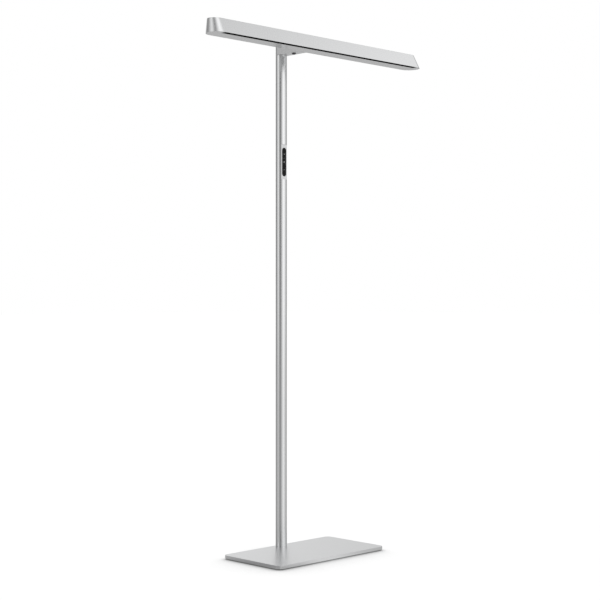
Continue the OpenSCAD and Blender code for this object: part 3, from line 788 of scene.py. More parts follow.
class Finish(Enum):
    """Finishes of the lamp's pieces, each named like its slot, but for the signs' ink."""

    BASE_PAINT = Metal("base_paint", (0.72, 0.725, 0.73), 0.30, grain_scale=1300.0, depth=0.00004)
    STEM_METAL = Metal("stem_metal", (0.74, 0.745, 0.75), 0.22, (1.0, 1.0, 0.012), 2600.0)
    HEAD_METAL = Metal("head_metal", (0.76, 0.765, 0.77), 0.27, (0.05, 1.0, 1.0), 2200.0)
    STEEL = Metal("steel", (0.60, 0.60, 0.61), 0.30, grain_scale=900.0)
    RAIL_METAL = Metal("rail_metal", (0.66, 0.67, 0.68), 0.38, (0.02, 1.0, 1.0), 1500.0)
    PAD_RUBBER = Moulding("pad_rubber", (0.022, 0.022, 0.022), 0.75, 900.0, 0.0001)
    BUSHING_RUBBER = Moulding("bushing_rubber", (0.018, 0.018, 0.018), 0.6)
    CABLE_SHEATH = Moulding("cable_sheath", (0.02, 0.02, 0.022), 0.5)
    BLACK_FRAME = Moulding("black_frame", (0.006, 0.006, 0.0065), 0.6, specular=0.2)
    KEY_PLASTIC = Moulding("key_plastic", (0.008, 0.008, 0.0085), 0.6, specular=0.2)
    LIGHT_GUIDE = Moulding("light_guide", (0.30, 0.32, 0.34), 0.2, coat=0.4)
    SIGN_INK = Moulding("key_sign", (0.75, 0.76, 0.77), 0.5)
    LOUVRE_BLACK = Moulding("louvre_black", (0.004, 0.004, 0.0042), 0.75, specular=0.1)
    OPTIC = ClearPlastic("optic", (0.95, 0.96, 0.97), 0.06)
    OPAL = ClearPlastic("opal", (0.86, 0.86, 0.85), 0.45, 0.25)
    BOARD_GREEN = CircuitBoard("board_green", (0.012, 0.10, 0.045), 0.38, (0.05, 0.22, 0.10))
    BOARD_WHITE = CircuitBoard("board_white", (0.80, 0.80, 0.78), 0.38, (0.66, 0.66, 0.63), 160.0)
    LED = Moulding("led", (0.80, 0.66, 0.16), 0.35, coat=0.5)
    CASE_WHITE = Moulding("case_white", (0.74, 0.74, 0.71), 0.45)
    BLACK_HOUSING = Moulding("black_housing", (0.03, 0.03, 0.031), 0.45)
    SENSOR_BLACK = Moulding("sensor_black", (0.016, 0.014, 0.02), 0.18, 500.0, 0.00001, coat=0.5)
    SWITCH_GREY = Moulding("switch_grey", (0.16, 0.16, 0.165), 0.45)


@functools.cache
def paint(finish: Finish) -> bpy.types.Material:
    """Gives the material of a finish, built when it is first used."""
    return finish.value.material()


# ---------- the lamp's sub-assemblies ----------


@dataclass
class Base:
    """Base plate with its rubber pads and the holes for its bolts."""

    corner_r: float = 20 * MM
    rim: float = 0.5 * MM
    seat_gap: float = 0.3 * MM
    seat_depth: float = 1 * MM
    pad_r: float = 15 * MM
    pad_inset: float = 32 * MM
    pad_edge: float = 1 * MM
    pad_rings: Pairs = ((2.5, 0.0), (0.6, -0.8), (1.2, 0.0), (0.6, 0.8), (2.5, 0.0), (0.6, -0.8))
    bolt_circle_r: float = 11 * MM
    bolt_angles: Triple = (30.0, 150.0, 270.0)
    bolt: Countersink = Countersink(8.1 * MM, 4.1 * MM, 4.4 * MM, 48)

    def build(self) -> None:
        """Builds the plate with its seats and holes below, and the pads."""
        low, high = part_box("base_plate")
        x, y = high.x - self.pad_inset, high.y - self.pad_inset
        places = [Vector((i * x, j * y, 0)) for i in SIDES for j in SIDES]
        plate = Workpiece.block("plate_of_base", low, high)
        plate.pick(Part.EDGE, runs(Z)).bevel(self.corner_r, 20).weld()
        plate.pick(Part.EDGE, level(Z, high.z)).bevel(self.rim, 4)
        plate.pick(Part.EDGE, level(Z, low.z)).bevel(self.rim / 2, 2)
        seat = low.z - MM, low.z + self.seat_depth
        tools = [Workpiece.rod("seat", at, Z, seat, self.pad_r + self.seat_gap) for at in places]
        for angle in map(math.radians, self.bolt_angles):
            way = Vector((math.cos(angle), math.sin(angle), 0))
            tools += self.bolt.tools(stem_axis() + way * self.bolt_circle_r, low.z, 1, high.z - MM)
        plate.combine(tools).dress(Finish.BASE_PAINT, "base_plate")
        self._pads(seat[1], *places)

    def _pads(self, top: float, first: Vector, *others: Vector) -> None:
        """Builds one ribbed pad and copies it to the other corners.

        Args:
            top: Z of its top.
            first: Its middle.
            *others: The middles of its copies.
        """
        pad = Workpiece.rod("pads_of_base", first, Z, (0, top), self.pad_r)
        pad.pick(Part.EDGE, level(Z, 0)).bevel(self.pad_edge, 3)
        for width, rise in self.pad_rings:
            pad.pick(Part.FACE, faces(Z, -1), centred(Z, first)).inset(width * MM, rise * MM)
        pad.join([pad.copy(at - first) for at in others]).dress(Finish.PAD_RUBBER, "floor_pads")


@dataclass
class Stem:
    """Stem tube with its flat and slot for the control pad, and its holes at the rear."""

    wall: float = 2.5 * MM
    hole_r: float = 5.2 * MM
    grub_r: float = 2.5 * MM
    grub_gap: float = 0.1 * MM
    rim: float = 0.3 * MM
    sides: int = 144

    def build(self) -> None:
        """Builds the tube."""
        axis = stem_axis()
        low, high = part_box("stem_tube")
        radius = (high.x - low.x) / 2
        tube = Workpiece.rod("tube_of_stem", axis, Z, (low.z, high.z), radius, self.sides)
        tube.pick(Part.EDGE, level(Z, low.z, high.z)).bevel(self.rim, 2)
        tube.pick(Part.FACE, runs(Z, SQUARE)).inset(self.wall - self.rim)
        tube.pick(Part.FACE, runs(Z, SQUARE), centred(Z, axis)).bridge().weld()
        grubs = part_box("stem_grubs")
        holes = [(middle_of("cord_bushing").z, self.hole_r, 64)]
        for z in (grubs[0].z + self.grub_r, grubs[1].z - self.grub_r):
            holes.append((z, self.grub_r + self.grub_gap, 32))
        tools = ControlPad().cutters()
        for z, hole_r, sides in holes:
            span = axis.y, axis.y + 2 * radius
            tools.append(Workpiece.rod("hole", (axis.x, 0, z), Y, span, hole_r, sides))
        tube.combine(tools).dress(Finish.STEM_METAL, "stem_tube")


@dataclass
class ControlPad:
    """Black pad in the stem's front: its seat, its frame, its three keys and their signs."""

    length: float = 110 * MM
    wall: float = 1.6 * MM
    face_t: float = 1.6 * MM
    face_sink: float = 0.4 * MM
    flat_margin: float = 12 * MM
    rim: float = 0.3 * MM
    gap: float = 0.3 * MM
    window_r: float = 1.3 * MM
    key_w: float = 14.6 * MM
    key_l: float = 24.4 * MM
    key_corner: float = 4 * MM
    key_edge: float = 0.5 * MM
    key_lip: float = 1.2 * MM
    key_lip_t: float = 1 * MM
    nib_r: float = 2.2 * MM
    dish: Pairs = ((1.2, 0.0), (1.2, 0.12), (0.5, 0.05))
    sign_half: float = 2.5 * MM
    sign_thick: float = 0.5 * MM
    sign_depth: float = 0.25 * MM
    sign_proud: float = 0.02 * MM
    ring_r: float = 3.4 * MM
    ring_wall: float = 0.9 * MM
    seat_t: float = 3 * MM
    hook_w: float = 8 * MM
    hook_l: float = 8 * MM
    hook_t: float = 2 * MM

    def build(self) -> None:
        """Builds the seat, the frame, the keys and the signs."""
        self._seat()
        self._frame()
        for body, node in KEYS.items():
            self._key(body, node)

    def _face(self) -> float:
        """Gives the Y of the pad's face, behind the keys' fronts."""
        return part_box("key_power")[0].y + self.face_sink

    def _outline(self, front: float, back: float, gap: float = 0.0) -> tuple[Triple, Triple]:
        """Gives two corners around the pad.

        Args:
            front: Y of the first corner.
            back: Y of the second corner.
            gap: How much larger than the pad the outline is, on each side.

        Returns:
            The lowest and the highest corner.
        """
        low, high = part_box("control_frame")
        middle, half = middle_of("key_power").z, self.length / 2 + gap
        return (low.x - gap, front, middle - half), (high.x + gap, back, middle + half)

    def cutters(self) -> list[Workpiece]:
        """Makes the tools that cut the pad's opening and the flat around it.

        Returns:
            The two tools.
        """
        front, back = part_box("stem_tube")[0].y - MM, stem_axis().y
        low, high = self._outline(front, self._face(), self.flat_margin)
        slot = Workpiece.stadium("slot", *self._outline(front, back, self.gap), Y)
        return [slot, Workpiece.block("flat", (-back, *low[1:]), (back, *high[1:]))]

    def _seat(self) -> None:
        """Builds the seat: a slice of a round bar with a flat front and the pad's opening."""
        axis = stem_axis()
        low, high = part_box("control_seat")
        seat = Workpiece.rod("seat_of_pad", axis, Z, (low.z, high.z), axis.y - low.y, Stem.sides)
        back = self._face() + self.seat_t
        slab = Workpiece.block("slab", (-axis.y, low.y - MM, low.z - MM), (axis.y, back, high.z + MM))
        seat.combine([slab], "INTERSECT").combine(self.cutters())
        seat.dress(Finish.STEM_METAL, "control_seat")

    def _keyed(self, name: str, at: Vector, front: float, back: float, margin: float) -> Workpiece:
        """Makes a block with a key's outline.

        Args:
            name: Its name.
            at: The key's middle.
            front: Y of its front.
            back: Y of its back.
            margin: How much larger than the key it is, on each side.

        Returns:
            The block.
        """
        half = Vector((self.key_w / 2 + margin, 0, self.key_l / 2 + margin))
        low, high = at - half, at + half
        low.y, high.y = front, back
        return Workpiece.block(name, low, high).pick(Part.EDGE, runs(Y)).bevel(self.key_corner + margin, 8)

    def _frame(self) -> None:
        """Builds the pad's frame around the openings of its keys, with its snap hooks."""
        low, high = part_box("control_frame")
        face = self._face()
        inner = face + self.face_t
        frame = Workpiece.stadium("frame_of_pad", *self._outline(face, high.y), Y)
        frame.pick(Part.EDGE, level(Y, face)).bevel(self.rim, 3)
        frame.pick(Part.FACE, faces(Y, 1)).inset(self.wall).extrude((0, inner - high.y, 0)).weld()
        tools = [
            self._keyed("opening", middle_of(node), face - MM, inner + MM, self.gap)
            for node in KEYS.values()
        ]
        span = face - MM, inner + MM
        tools.append(Workpiece.rod("opening", middle_of("status_window"), Y, span, self.window_r, 24))
        frame.combine(tools)
        front, half = face + self.seat_t + self.gap, self.hook_w / 2
        hooks = []
        for side, end in zip(SIDES, (low.z, high.z)):
            z = sorted((end, end - side * (self.hook_l - self.wall)))
            hooks.append(Workpiece.block("hook", (-half, front, z[0]), (half, front + self.hook_t, z[1])))
        frame.combine(hooks, "UNION").dress(Finish.BLACK_FRAME, "control_frame")

    def _key(self, body: Body, node: str) -> None:
        """Builds one key with its lip, its dished face, its nib and its sign.

        Args:
            body: The key's body.
            node: The key's node.
        """
        low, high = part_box(node)
        at = (low + high) / 2
        lip_y = self._face() + self.face_t + self.gap
        name = node.replace("key_", "cap_")
        key = self._keyed(name, at, lip_y, lip_y + self.key_lip_t, self.key_lip)
        front = faces(Y, -1, SQUARE)
        key.pick(Part.FACE, front).inset(self.key_lip).extrude((0, low.y - lip_y, 0))
        key.pick(Part.EDGE, level(Y, low.y)).bevel(self.key_edge, 4)
        key.pick(Part.FACE, front, level(Y, low.y))
        for width, depth in self.dish:
            key.inset(width * MM, -depth * MM)
        key.weld()
        bottom = low.y + sum(depth for _, depth in self.dish) * MM
        sign = self._sign(body, at, bottom)
        key.combine([sign.copy()])
        span = lip_y + self.key_lip_t / 2, high.y
        key.combine([Workpiece.rod("nib", at, Y, span, self.nib_r, 32)], "UNION")
        key.dress(Finish.KEY_PLASTIC, node, body=body)
        sign.pick(Part.CORNER, lambda m, way: m.y < bottom).move((0, MM - self.sign_proud, 0))
        sign.dress(Finish.SIGN_INK, body=body, slot="light_guide")

    def _sign(self, body: Body, at: Vector, bottom: float) -> Workpiece:
        """Makes a key's sign: a cross, a ring or a bar, which reaches out of the key.

        Args:
            body: The key's body.
            at: The key's middle.
            bottom: Y of the bottom of the key's dish.

        Returns:
            The sign.
        """
        front, back = bottom - MM, bottom + self.sign_depth
        name = "sign_" + body.name.lower()
        if body is Body.POWER:
            ring = Workpiece.rod(name, at, Y, (back, front), self.ring_r, 40)
            ring.pick(Part.FACE, runs(Y)).inset(self.ring_wall)
            return ring.pick(Part.FACE, runs(Y), centred(Y, at)).bridge().weld()
        thick, more = self.sign_thick, self.sign_half - self.sign_thick
        low, high = (at.x - thick, front, at.z - thick), (at.x + thick, back, at.z + thick)
        sign = Workpiece.block(name, low, high)
        for side in SIDES:
            sign.pick(Part.FACE, faces(X, side)).extrude((side * more, 0, 0))
        for side in SIDES if body is Body.BRIGHTER else ():
            sign.pick(Part.FACE, faces(Z, side), level(X, at.x)).extrude((0, 0, side * more))
        return sign.weld()


@dataclass
class Arm:
    """Arm with its cover and the presence sensor below it."""

    edge: float = 0.5 * MM
    cover_edge: float = 0.3 * MM
    cover_rim: float = 1.6 * MM
    wall: float = 4 * MM
    floor: float = 4 * MM
    screw: Countersink = Countersink()
    lens_r: float = 8 * MM
    lens_gap: float = 0.3 * MM
    lens_rings: int = 10

    def build(self) -> None:
        """Builds the arm, its cover and the sensor's lens."""
        self._arm()
        self._cover()
        self._sensor()

    @staticmethod
    def _blank(name: str, node: str) -> Workpiece:
        """Makes a block as large as a node, with a half circle at its rear.

        Args:
            name: The piece's name.
            node: The node.

        Returns:
            The block.
        """
        low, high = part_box(node)
        piece = Workpiece.block(name, low, high).pick(Part.EDGE, runs(Z), level(Y, high.y))
        return piece.bevel(high.x, 32).weld()

    def _arm(self) -> None:
        """Builds the arm with its channel and the sensor's hole."""
        low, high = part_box("arm_body")
        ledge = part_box("arm_cover")[0].z
        arm = self._blank("box_of_arm", "arm_body")
        arm.pick(Part.EDGE, level(Z, low.z, high.z)).bevel(self.edge, 3)
        arm.pick(Part.FACE, faces(Z, 1, 0.99), level(Z, high.z)).inset(self.cover_rim - self.edge)
        arm.extrude((0, 0, ledge - high.z)).inset(self.wall - self.cover_rim)
        arm.extrude((0, 0, low.z + self.floor - ledge)).weld()
        span = low.z - MM, low.z + 2 * self.floor
        hole = Workpiece.rod("hole", middle_of("sensor_board"), Z, span, self.lens_r + self.lens_gap)
        arm.combine([hole]).dress(Finish.HEAD_METAL, "arm_body")

    def _cover(self) -> None:
        """Builds the cover with its four countersunk holes."""
        low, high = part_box("arm_cover")
        cover = self._blank("lid_of_arm", "arm_cover")
        cover.pick(Part.EDGE, level(Z, high.z)).bevel(self.cover_edge, 2)
        first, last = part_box("cover_screws")
        head = self.screw.head_r - self.screw.play
        tools = []
        for x in (first.x + head, last.x - head):
            for y in (first.y + head, last.y - head):
                tools += self.screw.tools((x, y, 0), high.z, -1, low.z - MM)
        cover.combine(tools).dress(Finish.HEAD_METAL, "arm_cover")

    def _sensor(self) -> None:
        """Builds the dark lens: a cup whose domed end has fine rings."""
        low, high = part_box("sensor_lens")
        at, rim = middle_of("sensor_board"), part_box("arm_body")[0].z - MM
        lens = Workpiece.rod("lens_of_sensor", at, Z, (rim, high.z), self.lens_r)
        parts = self.lens_rings + 1
        for ring in range(self.lens_rings):
            now, then = (math.sqrt(1 - (1 - (ring + i) / parts) ** 2) for i in (0, 1))
            lens.pick(Part.FACE, faces(Z, -1), centred(Z, at))
            lens.inset(self.lens_r / parts, (rim - low.z) * (then - now))
        lens.dress(Finish.SENSOR_BLACK, "sensor_lens", crease=60)


@dataclass
class Head:
    """Head: its drafted shell, the panel below and the diffuser above."""

    draft: float = 13.5 * MM
    wall: float = 2 * MM
    top_edge: float = 1.2 * MM
    low_edge: float = 0.2 * MM
    lip_wall: float = 0.8 * MM
    gap: float = 0.3 * MM
    flange: float = 2.2 * MM
    flange_t: float = 1.8 * MM
    strip_edge: float = 0.4 * MM
    rebate_w: float = 3 * MM
    screw: Countersink = Countersink()
    screw_x: tuple[float, ...] = (60 * MM, 280 * MM)
    steps: int = 32

    def build(self) -> None:
        """Builds the shell, the panel and the diffuser."""
        self._shell()
        self._panel()
        self._diffuser()

    @staticmethod
    def _draw_in(shell: Workpiece, z: float, rear: float, straight: float, scale: float) -> None:
        """Draws one level of the shell in, towards its rear and towards its middle.

        Args:
            shell: The shell.
            z: The level.
            rear: Y of the rear wall, which stays.
            straight: X where the round ends begin.
            scale: What stays of its depth and of the round ends.
        """
        shell.pick(Part.CORNER, level(Z, z)).resize((1, scale, 1), (0, rear, 0))
        for side in SIDES:
            shell.pick(Part.CORNER, level(Z, z), lambda at, way, s=side: at.x * s > straight - TINY)
            shell.resize((scale, 1, 1), (side * straight, 0, 0))

    def _shell(self) -> None:
        """Builds the shell: a block with round ends, drafted, hollowed and opened."""
        low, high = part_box("head_shell")
        top = high.z - self.wall
        radius = (high.y - low.y) / 2
        inside = radius - self.wall
        straight = high.x - radius
        shell = Workpiece.stadium("shell_of_head", low, high, Z, self.steps)
        self._draw_in(shell, high.z, high.y, straight, (radius - self.draft) / radius)
        shell.pick(Part.EDGE, level(Z, high.z)).bevel(self.top_edge, 4)
        shell.pick(Part.EDGE, level(Z, low.z)).bevel(self.low_edge, 2)
        shell.pick(Part.FACE, faces(Z, -1, 0.99), level(Z, low.z)).inset(self.wall - self.low_edge)
        shell.extrude((0, 0, top - low.z))
        draft = self.draft * (1 - self.wall / (high.z - low.z))
        self._draw_in(shell, top, high.y - self.wall, straight, (inside - draft) / inside)
        shell.weld()
        first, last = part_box("uplight_diffuser")
        flange = Vector((self.flange, self.flange, 0))
        first, last = first + flange, last - flange
        first.z, last.z = top - MM, high.z + MM
        shell.combine([Workpiece.stadium("window", first, last, Z), self._rebate()])
        shell.dress(Finish.HEAD_METAL, "head_shell")

    def _rebate(self) -> Workpiece:
        """Makes the tool that thins the front wall's lower edge for the louvre's lip.

        Returns:
            The tool.
        """
        low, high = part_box("head_shell")
        first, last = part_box("louvre")
        end = last.x - Louvre.end_flange + self.gap
        top = first.z + Louvre.lip_t + self.gap
        slope = 2 * self.draft / (high.z - low.z)
        front = low.y - slope * MM + self.lip_wall
        tool = Workpiece.block("rebate", (-end, front, low.z - MM), (end, front + self.rebate_w, top))
        return tool.pick(Part.CORNER, level(Z, top)).move((0, slope * (top - low.z + MM), 0)).done()

    def _panel(self) -> None:
        """Builds the underside's panel around the louvre's opening."""
        low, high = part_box("underside_panel")
        louvre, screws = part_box("louvre")[1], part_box("panel_screws")[1]
        end, back = louvre.x - Louvre.end_flange + self.gap, louvre.y - Louvre.flange + self.gap
        panel = Workpiece.stadium("panel_of_head", low, high, Z, self.steps)
        tools = [Workpiece.block("opening", (-end, low.y - MM, low.z - MM), (end, back, high.z + MM))]
        outer = screws.x - self.screw.head_r + self.screw.play
        for x in (*self.screw_x, outer):
            for side in SIDES:
                tools += self.screw.tools((side * x, middle_of("panel_screws").y, 0), low.z, 1)
        panel.combine(tools).dress(Finish.HEAD_METAL, "underside_panel")

    def _diffuser(self) -> None:
        """Builds the opal strip with its flange."""
        low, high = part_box("uplight_diffuser")
        ledge = low.z + self.flange_t
        strip = Workpiece.stadium("strip_of_diffuser", low, (high.x, high.y, ledge), Z)
        strip.pick(Part.FACE, faces(Z, 1)).inset(self.flange + self.gap)
        strip.extrude((0, 0, high.z - ledge))
        strip.pick(Part.EDGE, level(Z, high.z)).bevel(self.strip_edge, 3)
        strip.dress(Finish.OPAL, "uplight_diffuser")


@dataclass
class Louvre:
    """Black louvre: a sloping frame with one row of cells between tapered blades."""

    wall: float = 1.4 * MM
    flange: float = 1.6 * MM
    flange_t: float = 1.2 * MM
    flange_z: float = 2.0 * MM
    end_flange: float = 1.5 * MM
    lip: float = 1.2 * MM
    lip_t: float = 1.2 * MM
    slope: float = 0.5
    edge: float = 0.2 * MM
    pitch: float = 30 * MM
    cells: int = 34
    blade_low: float = 0.8 * MM
    blade_high: float = 3 * MM
    blade_edge: float = 0.3 * MM

    def build(self) -> None:
        """Builds the frame, its lip and flanges, and the blades as one moulding."""
        low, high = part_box("louvre")
        end, front, back = high.x - self.end_flange, low.y + self.lip, high.y - self.flange
        half = self.wall / 2
        corners = Vector((-end, front, low.z)), Vector((end, back, high.z))
        frame = self._frame(*corners)
        lip = Workpiece.block("lip", (-end, low.y, low.z), (end, front + half, low.z + self.lip_t))
        lip.pick(Part.CORNER, level(Z, low.z + self.lip_t)).move((0, self.lip_t * self.slope, 0)).done()
        z, top = low.z + self.flange_z, low.z + self.flange_z + self.flange_t
        ledges = [Workpiece.block("ledge", (-end, back - half, z), (end, high.y, top))]
        for side in SIDES:
            x = sorted((side * (end - half), side * high.x))
            ledges.append(Workpiece.block("ledge", (x[0], front + 2 * self.wall, z), (x[1], back - MM, top)))
        frame.combine([lip, *ledges], "UNION").join([self._blades(*corners)])
        frame.dress(Finish.LOUVRE_BLACK, "louvre")

    def _frame(self, low: Vector, high: Vector) -> Workpiece:
        """Builds the frame around the row of cells.

        Args:
            low: Its lowest corner.
            high: Its highest corner.

        Returns:
            The frame.
        """
        frame = Workpiece.block("grille_of_head", low, high)
        frame.pick(Part.CORNER, level(Y, low.y), level(Z, high.z)).move((0, (high.z - low.z) * self.slope, 0))
        frame.pick(Part.FACE, runs(Z)).inset(self.wall)
        first, last = low.y + 2 * self.wall, high.y - 2 * self.wall
        frame.pick(Part.FACE, runs(Z), level(X, 0), lambda at, way: first < at.y < last).bridge()
        frame.pick(Part.EDGE, runs(X), level(Z, low.z), lambda at, way: at.y > last)
        return frame.bevel(self.edge, 2).weld()

    def _blades(self, low: Vector, high: Vector) -> Workpiece:
        """Builds one blade and repeats it between all the cells.

        Args:
            low: The frame's lowest corner.
            high: Its highest corner.

        Returns:
            The row of blades.
        """
        x, half = (1 - self.cells / 2) * self.pitch, self.blade_high / 2
        front, back = low.y + self.wall / 2, high.y - self.wall / 2
        foot, top = low.z + self.edge, high.z - self.edge
        blade = Workpiece.block("blade", (x - half, front, foot), (x + half, back, top))
        blade.pick(Part.CORNER, level(Y, front), level(Z, top)).move((0, (top - foot) * self.slope, 0))
        blade.pick(Part.CORNER, level(Z, foot))
        blade.resize((self.blade_low / self.blade_high, 1, 1), (x, 0, 0))
        blade.pick(Part.EDGE, level(Z, foot), runs(Y)).bevel(self.blade_edge, 2)
        return blade.modify(
            "ARRAY",
            count=self.cells - 1,
            use_relative_offset=False,
            use_constant_offset=True,
            constant_offset_displace=(self.pitch, 0, 0),
        )


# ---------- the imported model's own nodes ----------

KEPT: dict[Finish, tuple[str, ...]] = {
    Finish.STEEL: (
        "base_bolts", "foot_plug", "stem_grubs", "board_screws", "top_plug", "cover_screws", "arm_screws",
        "neck_bracket", "neck_screws", "panel_screws", "rail_screws", "driver_screws",
    ),
    Finish.BUSHING_RUBBER: ("cord_bushing",),
    Finish.BLACK_HOUSING: ("lead_coupler",),
    Finish.CABLE_SHEATH: ("supply_lead", "control_lead", "sensor_lead", "driver_lead", "board_leads"),
    Finish.SWITCH_GREY: ("plunger_brighter", "plunger_power", "plunger_dimmer", "switch_bodies"),
    Finish.LIGHT_GUIDE: ("status_window",),
    Finish.BOARD_GREEN: ("control_board", "sensor_board"),
    Finish.BOARD_WHITE: ("downlight_board", "uplight_board"),
    Finish.LED: ("downlight_leds", "uplight_leds"),
    Finish.RAIL_METAL: ("heat_rail",),
    Finish.OPTIC: ("lens_strip",),
    Finish.CASE_WHITE: ("driver", "terminal_block"),
}


def paint_nodes(nodes: dict[str, bpy.types.Object]) -> None:
    """Gives the nodes that stay their finishes.

    Args:
        nodes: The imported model's nodes.
    """
    for finish, names in KEPT.items():
        for name in names:
            materials = nodes[name].data.materials
            materials.clear()
            materials.append(paint(finish))
            LOG.info("%s: kept, in %s", name, finish.value.name)


# ---------- studio ----------


@dataclass
class Studio:
    """White studio: floor, surroundings, lamps and camera."""

    heading: float = math.radians(44.736)
    camera_at: Triple = (-3.6097, -3.6186, 0.9777)
    lens: float = 80.77
    shift: tuple[float, float] = (-0.0008, -0.0051)
    floor_half: float = 60.0
    ambient: float = 0.62
    floor_glow: float = 0.62
    floor_colour: float = 0.42
    # Painted shade: the floor that metal mirrors is darker near the stem's foot.
    painted_foot_shade: float = 0.85
    painted_foot_shade_reach: tuple[float, float] = (0.25, 0.8)
    floor_end: tuple[float, float] = (6.0, 45.0)
    walls_end: tuple[float, float] = (0.86, 0.98)
    # Painted shadow: occlusion seen along this leaned normal darkens the floor's glow, so the lamp's shadow
    # falls to the front.
    painted_shadow_lean: Triple = (0.5, 0.5, 0.707)
    painted_shadow_reach: float = 0.17
    painted_shadow_power: float = 2.2
    sun_softness: float = math.radians(60)
    suns: tuple[tuple[str, Triple, float], ...] = (
        ("key", (-0.35, -0.25, -1.0), 0.75),
        ("fill", (0.3, 0.4, -1.0), 0.5),
    )
    walls: Pairs = (
        (-180, 0.84), (-166, 0.98), (-148, 0.60), (-130, 0.36), (-112, 0.29), (-84, 0.66), (-58, 1.02),
        (-38, 0.52), (-16, 0.24), (5, 0.58), (25, 1.00), (47, 1.26), (70, 1.16), (97, 0.76),
        (130, 0.42), (155, 0.56), (168, 0.62), (180, 0.84),
    )
    ground: Pairs = (
        (-180, 0.54), (-150, 0.52), (-117, 0.38), (-84, 0.54), (-58, 0.62), (-38, 0.43),
        (-16, 0.36), (5, 0.58), (27, 0.88), (49, 1.02), (74, 0.78), (103, 0.58),
        (150, 0.54), (180, 0.54),
    )
    card_grey: float = 1.06
    card_round: Pairs = ((0, 0), (80, 0), (105, 1), (130, 1), (155, 0), (180, 0))
    card_up: Pairs = ((0.0, 0), (0.38, 0), (0.54, 1), (0.60, 0.92), (0.71, 0.26), (0.82, 0))

    def build(self) -> None:
        """Builds the studio."""
        self._camera()
        self._world()
        self._floor()
        self._lamps()
        bpy.context.scene.view_settings.view_transform = "Standard"

    @staticmethod
    def _place(name: str, data: bpy.types.ID, turn: Any) -> bpy.types.Object:
        """Puts a camera or a lamp in the scene.

        Args:
            name: Its name.
            data: Its settings.
            turn: Its angles about X, Y and Z.

        Returns:
            Its object.
        """
        placed = bpy.data.objects.new(name, data)
        placed.rotation_euler = turn
        bpy.context.scene.collection.objects.link(placed)
        return placed

    def _camera(self) -> None:
        """Puts the camera where the photograph was taken from."""
        data = bpy.data.cameras.new("camera")
        data.sensor_width = 36.0
        data.lens = self.lens
        data.shift_x, data.shift_y = self.shift
        data.clip_end = 200.0
        camera = self._place("camera", data, (math.pi / 2, 0, -self.heading))
        camera.location = self.camera_at
        bpy.context.scene.camera = camera

    def _bearing(self, graph: Graph, way: Wire) -> Wire:
        """Gives a bearing from 0 to 1: 0.5 is the photograph's side, 0.75 to its right.

        Args:
            graph: The nodes.
            way: The direction.

        Returns:
            The bearing.
        """
        sine, cosine = math.sin(self.heading), math.cos(self.heading)
        ahead, aside = (
            graph.node("VectorMath", {"operation": "DOT_PRODUCT"}, {0: way, 1: axis}, out="Value")
            for axis in ((-sine, -cosine, 0.0), (cosine, -sine, 0.0))
        )
        angle = graph.node("Math", {"operation": "ARCTAN2"}, {0: aside, 1: ahead})
        return angle * (1 / math.tau) + 0.5

    @staticmethod
    def _round(graph: Graph, bearing: Wire, bands: Pairs) -> Wire:
        """Gives greys by bearing, from pairs of degrees and a grey of at most 2."""
        stops = [((degrees + 180) / 360, grey / 2) for degrees, grey in bands]
        return graph.node("ValToRGB", {"stops": stops}, {"Fac": bearing}) * 2

    @staticmethod
    def _rise(graph: Graph, value: Wire, low: float, high: float) -> Wire:
        """Rises smoothly from 0 at a low value to 1 at a high one."""
        inputs = {"Value": value, "From Min": low, "From Max": high}
        return graph.node("MapRange", {"interpolation_type": "SMOOTHSTEP"}, inputs, out="Result")

    @staticmethod
    def _by_ray(graph: Graph, straight: Wire, glossy: Wire, other: Wire) -> Wire:
        """Chooses a shader by the kind of ray that meets it.

        Args:
            graph: The nodes.
            straight: What the camera sees, also through clear plastic.
            glossy: What metal shows.
            other: What lights the scene.

        Returns:
            The shader.
        """
        camera, clear, mirror = (
            graph.node("LightPath", out=f"Is {kind} Ray")
            for kind in ("Camera", "Transmission", "Glossy")
        )
        unseen = graph.node("MixShader", inputs={0: mirror, 1: other, 2: glossy})
        return graph.node("MixShader", inputs={0: camera + clear, 1: unseen, 2: straight})

    def _world(self) -> None:
        """Lights evenly, and shows metal a ring of soft bright and dark panels."""
        world = bpy.context.scene.world = bpy.data.worlds.new("studio")
        graph = Graph(world)
        way = graph.node("TexCoord", out="Generated")
        height = graph.node("SeparateXYZ", inputs={0: way}, out="Z")
        bearing = self._bearing(graph, way)
        card = self._round(graph, bearing, self.card_round)
        card *= graph.node("ValToRGB", {"stops": self.card_up}, {"Fac": height})
        panels = graph.blend(card, self._round(graph, bearing, self.walls), (self.card_grey,) * 3)
        seen = graph.blend(self._rise(graph, height, *self.walls_end), panels, (1.0, 1.0, 1.0))
        white = (1.0, 1.0, 1.0, 1.0)
        straight, glossy, other = (
            graph.node("Background", inputs={"Color": colour, "Strength": strength})
            for colour, strength in ((white, 1.0), (seen, 1.0), (white, self.ambient))
        )
        graph.finish(self._by_ray(graph, straight, glossy, other))

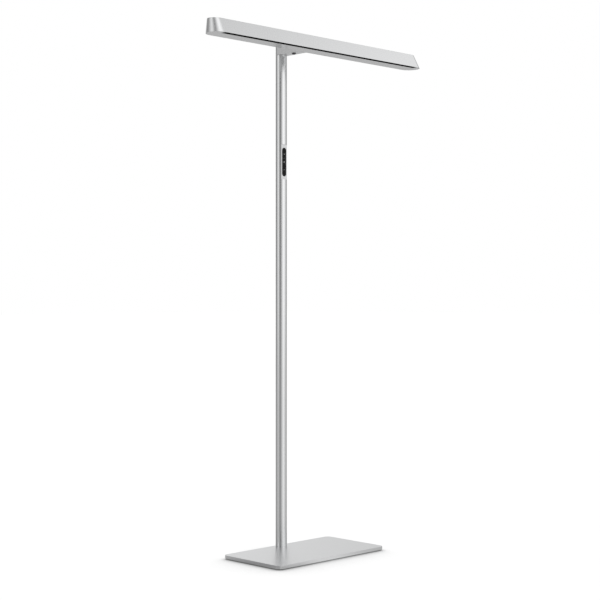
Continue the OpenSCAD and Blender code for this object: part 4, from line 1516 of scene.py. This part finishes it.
    def _floor(self) -> None:
        """Lays a pale floor that renders white, with the suns' real shadow and a painted shadow, and shows
        metal its bands.
        """
        clear_bench()
        bpy.ops.mesh.primitive_plane_add(size=2 * self.floor_half)
        floor = Workpiece("floor").obj
        material = bpy.data.materials.new("studio_floor")
        graph = Graph(material)
        matt = graph.node("BsdfDiffuse", inputs={"Color": (*(self.floor_colour,) * 3, 1)})
        # Painted shadow: occlusion along a normal leaned away from the camera darkens the glow that the
        # camera sees.
        lean = graph.node("CombineXYZ", inputs=dict(zip("XYZ", self.painted_shadow_lean)))
        around = {"Distance": self.painted_shadow_reach, "Normal": lean}
        opening = graph.node("AmbientOcclusion", {"samples": 16}, around, out="AO")
        glow_with_painted_shadow = opening ** self.painted_shadow_power * self.floor_glow
        glow = graph.node("Emission", inputs={"Color": glow_with_painted_shadow, "Strength": 1.0})
        straight = graph.node("AddShader", inputs={0: matt, 1: glow})
        at = graph.node("TexCoord", out="Object")
        foot = (*stem_axis().xy, 0)
        away = graph.node("VectorMath", {"operation": "SUBTRACT"}, {0: at, 1: foot})
        distance = graph.node("VectorMath", {"operation": "LENGTH"}, {0: away}, out="Value")
        bearing = self._bearing(graph, away)
        close, far = (self._round(graph, bearing, bands) for bands in (self.ground, self.walls))
        bands = close + (far - close) * self._rise(graph, distance, *self.floor_end)
        # Painted shade: the mirrored floor darkens towards the stem's foot.
        painted_foot_dimming = self._rise(graph, distance, *self.painted_foot_shade_reach) * (1 - self.painted_foot_shade) + self.painted_foot_shade
        glossy = graph.node("Emission", inputs={"Color": bands * painted_foot_dimming, "Strength": 1.0})
        graph.finish(self._by_ray(graph, straight, glossy, matt))
        floor.data.materials.append(material)

    def _lamps(self) -> None:
        """Hangs soft lamps that metal doesn't mirror."""
        for name, way, power in self.suns:
            data = bpy.data.lights.new(name, "SUN")
            data.angle = self.sun_softness
            data.energy = power
            lamp = self._place(name, data, Vector(way).to_track_quat("-Z", "Y").to_euler())
            lamp.visible_glossy = False


def main() -> None:
    """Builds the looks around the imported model."""
    logging.basicConfig(level=logging.INFO, format="%(name)s: %(message)s")
    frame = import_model()
    clear_bench()
    Studio().build()
    paint_nodes(frame["nodes"])
    for assembly in (Base(), Stem(), ControlPad(), Arm(), Head(), Louvre()):
        assembly.build()
    clear_bench()


if __name__ == "__main__":
    main()
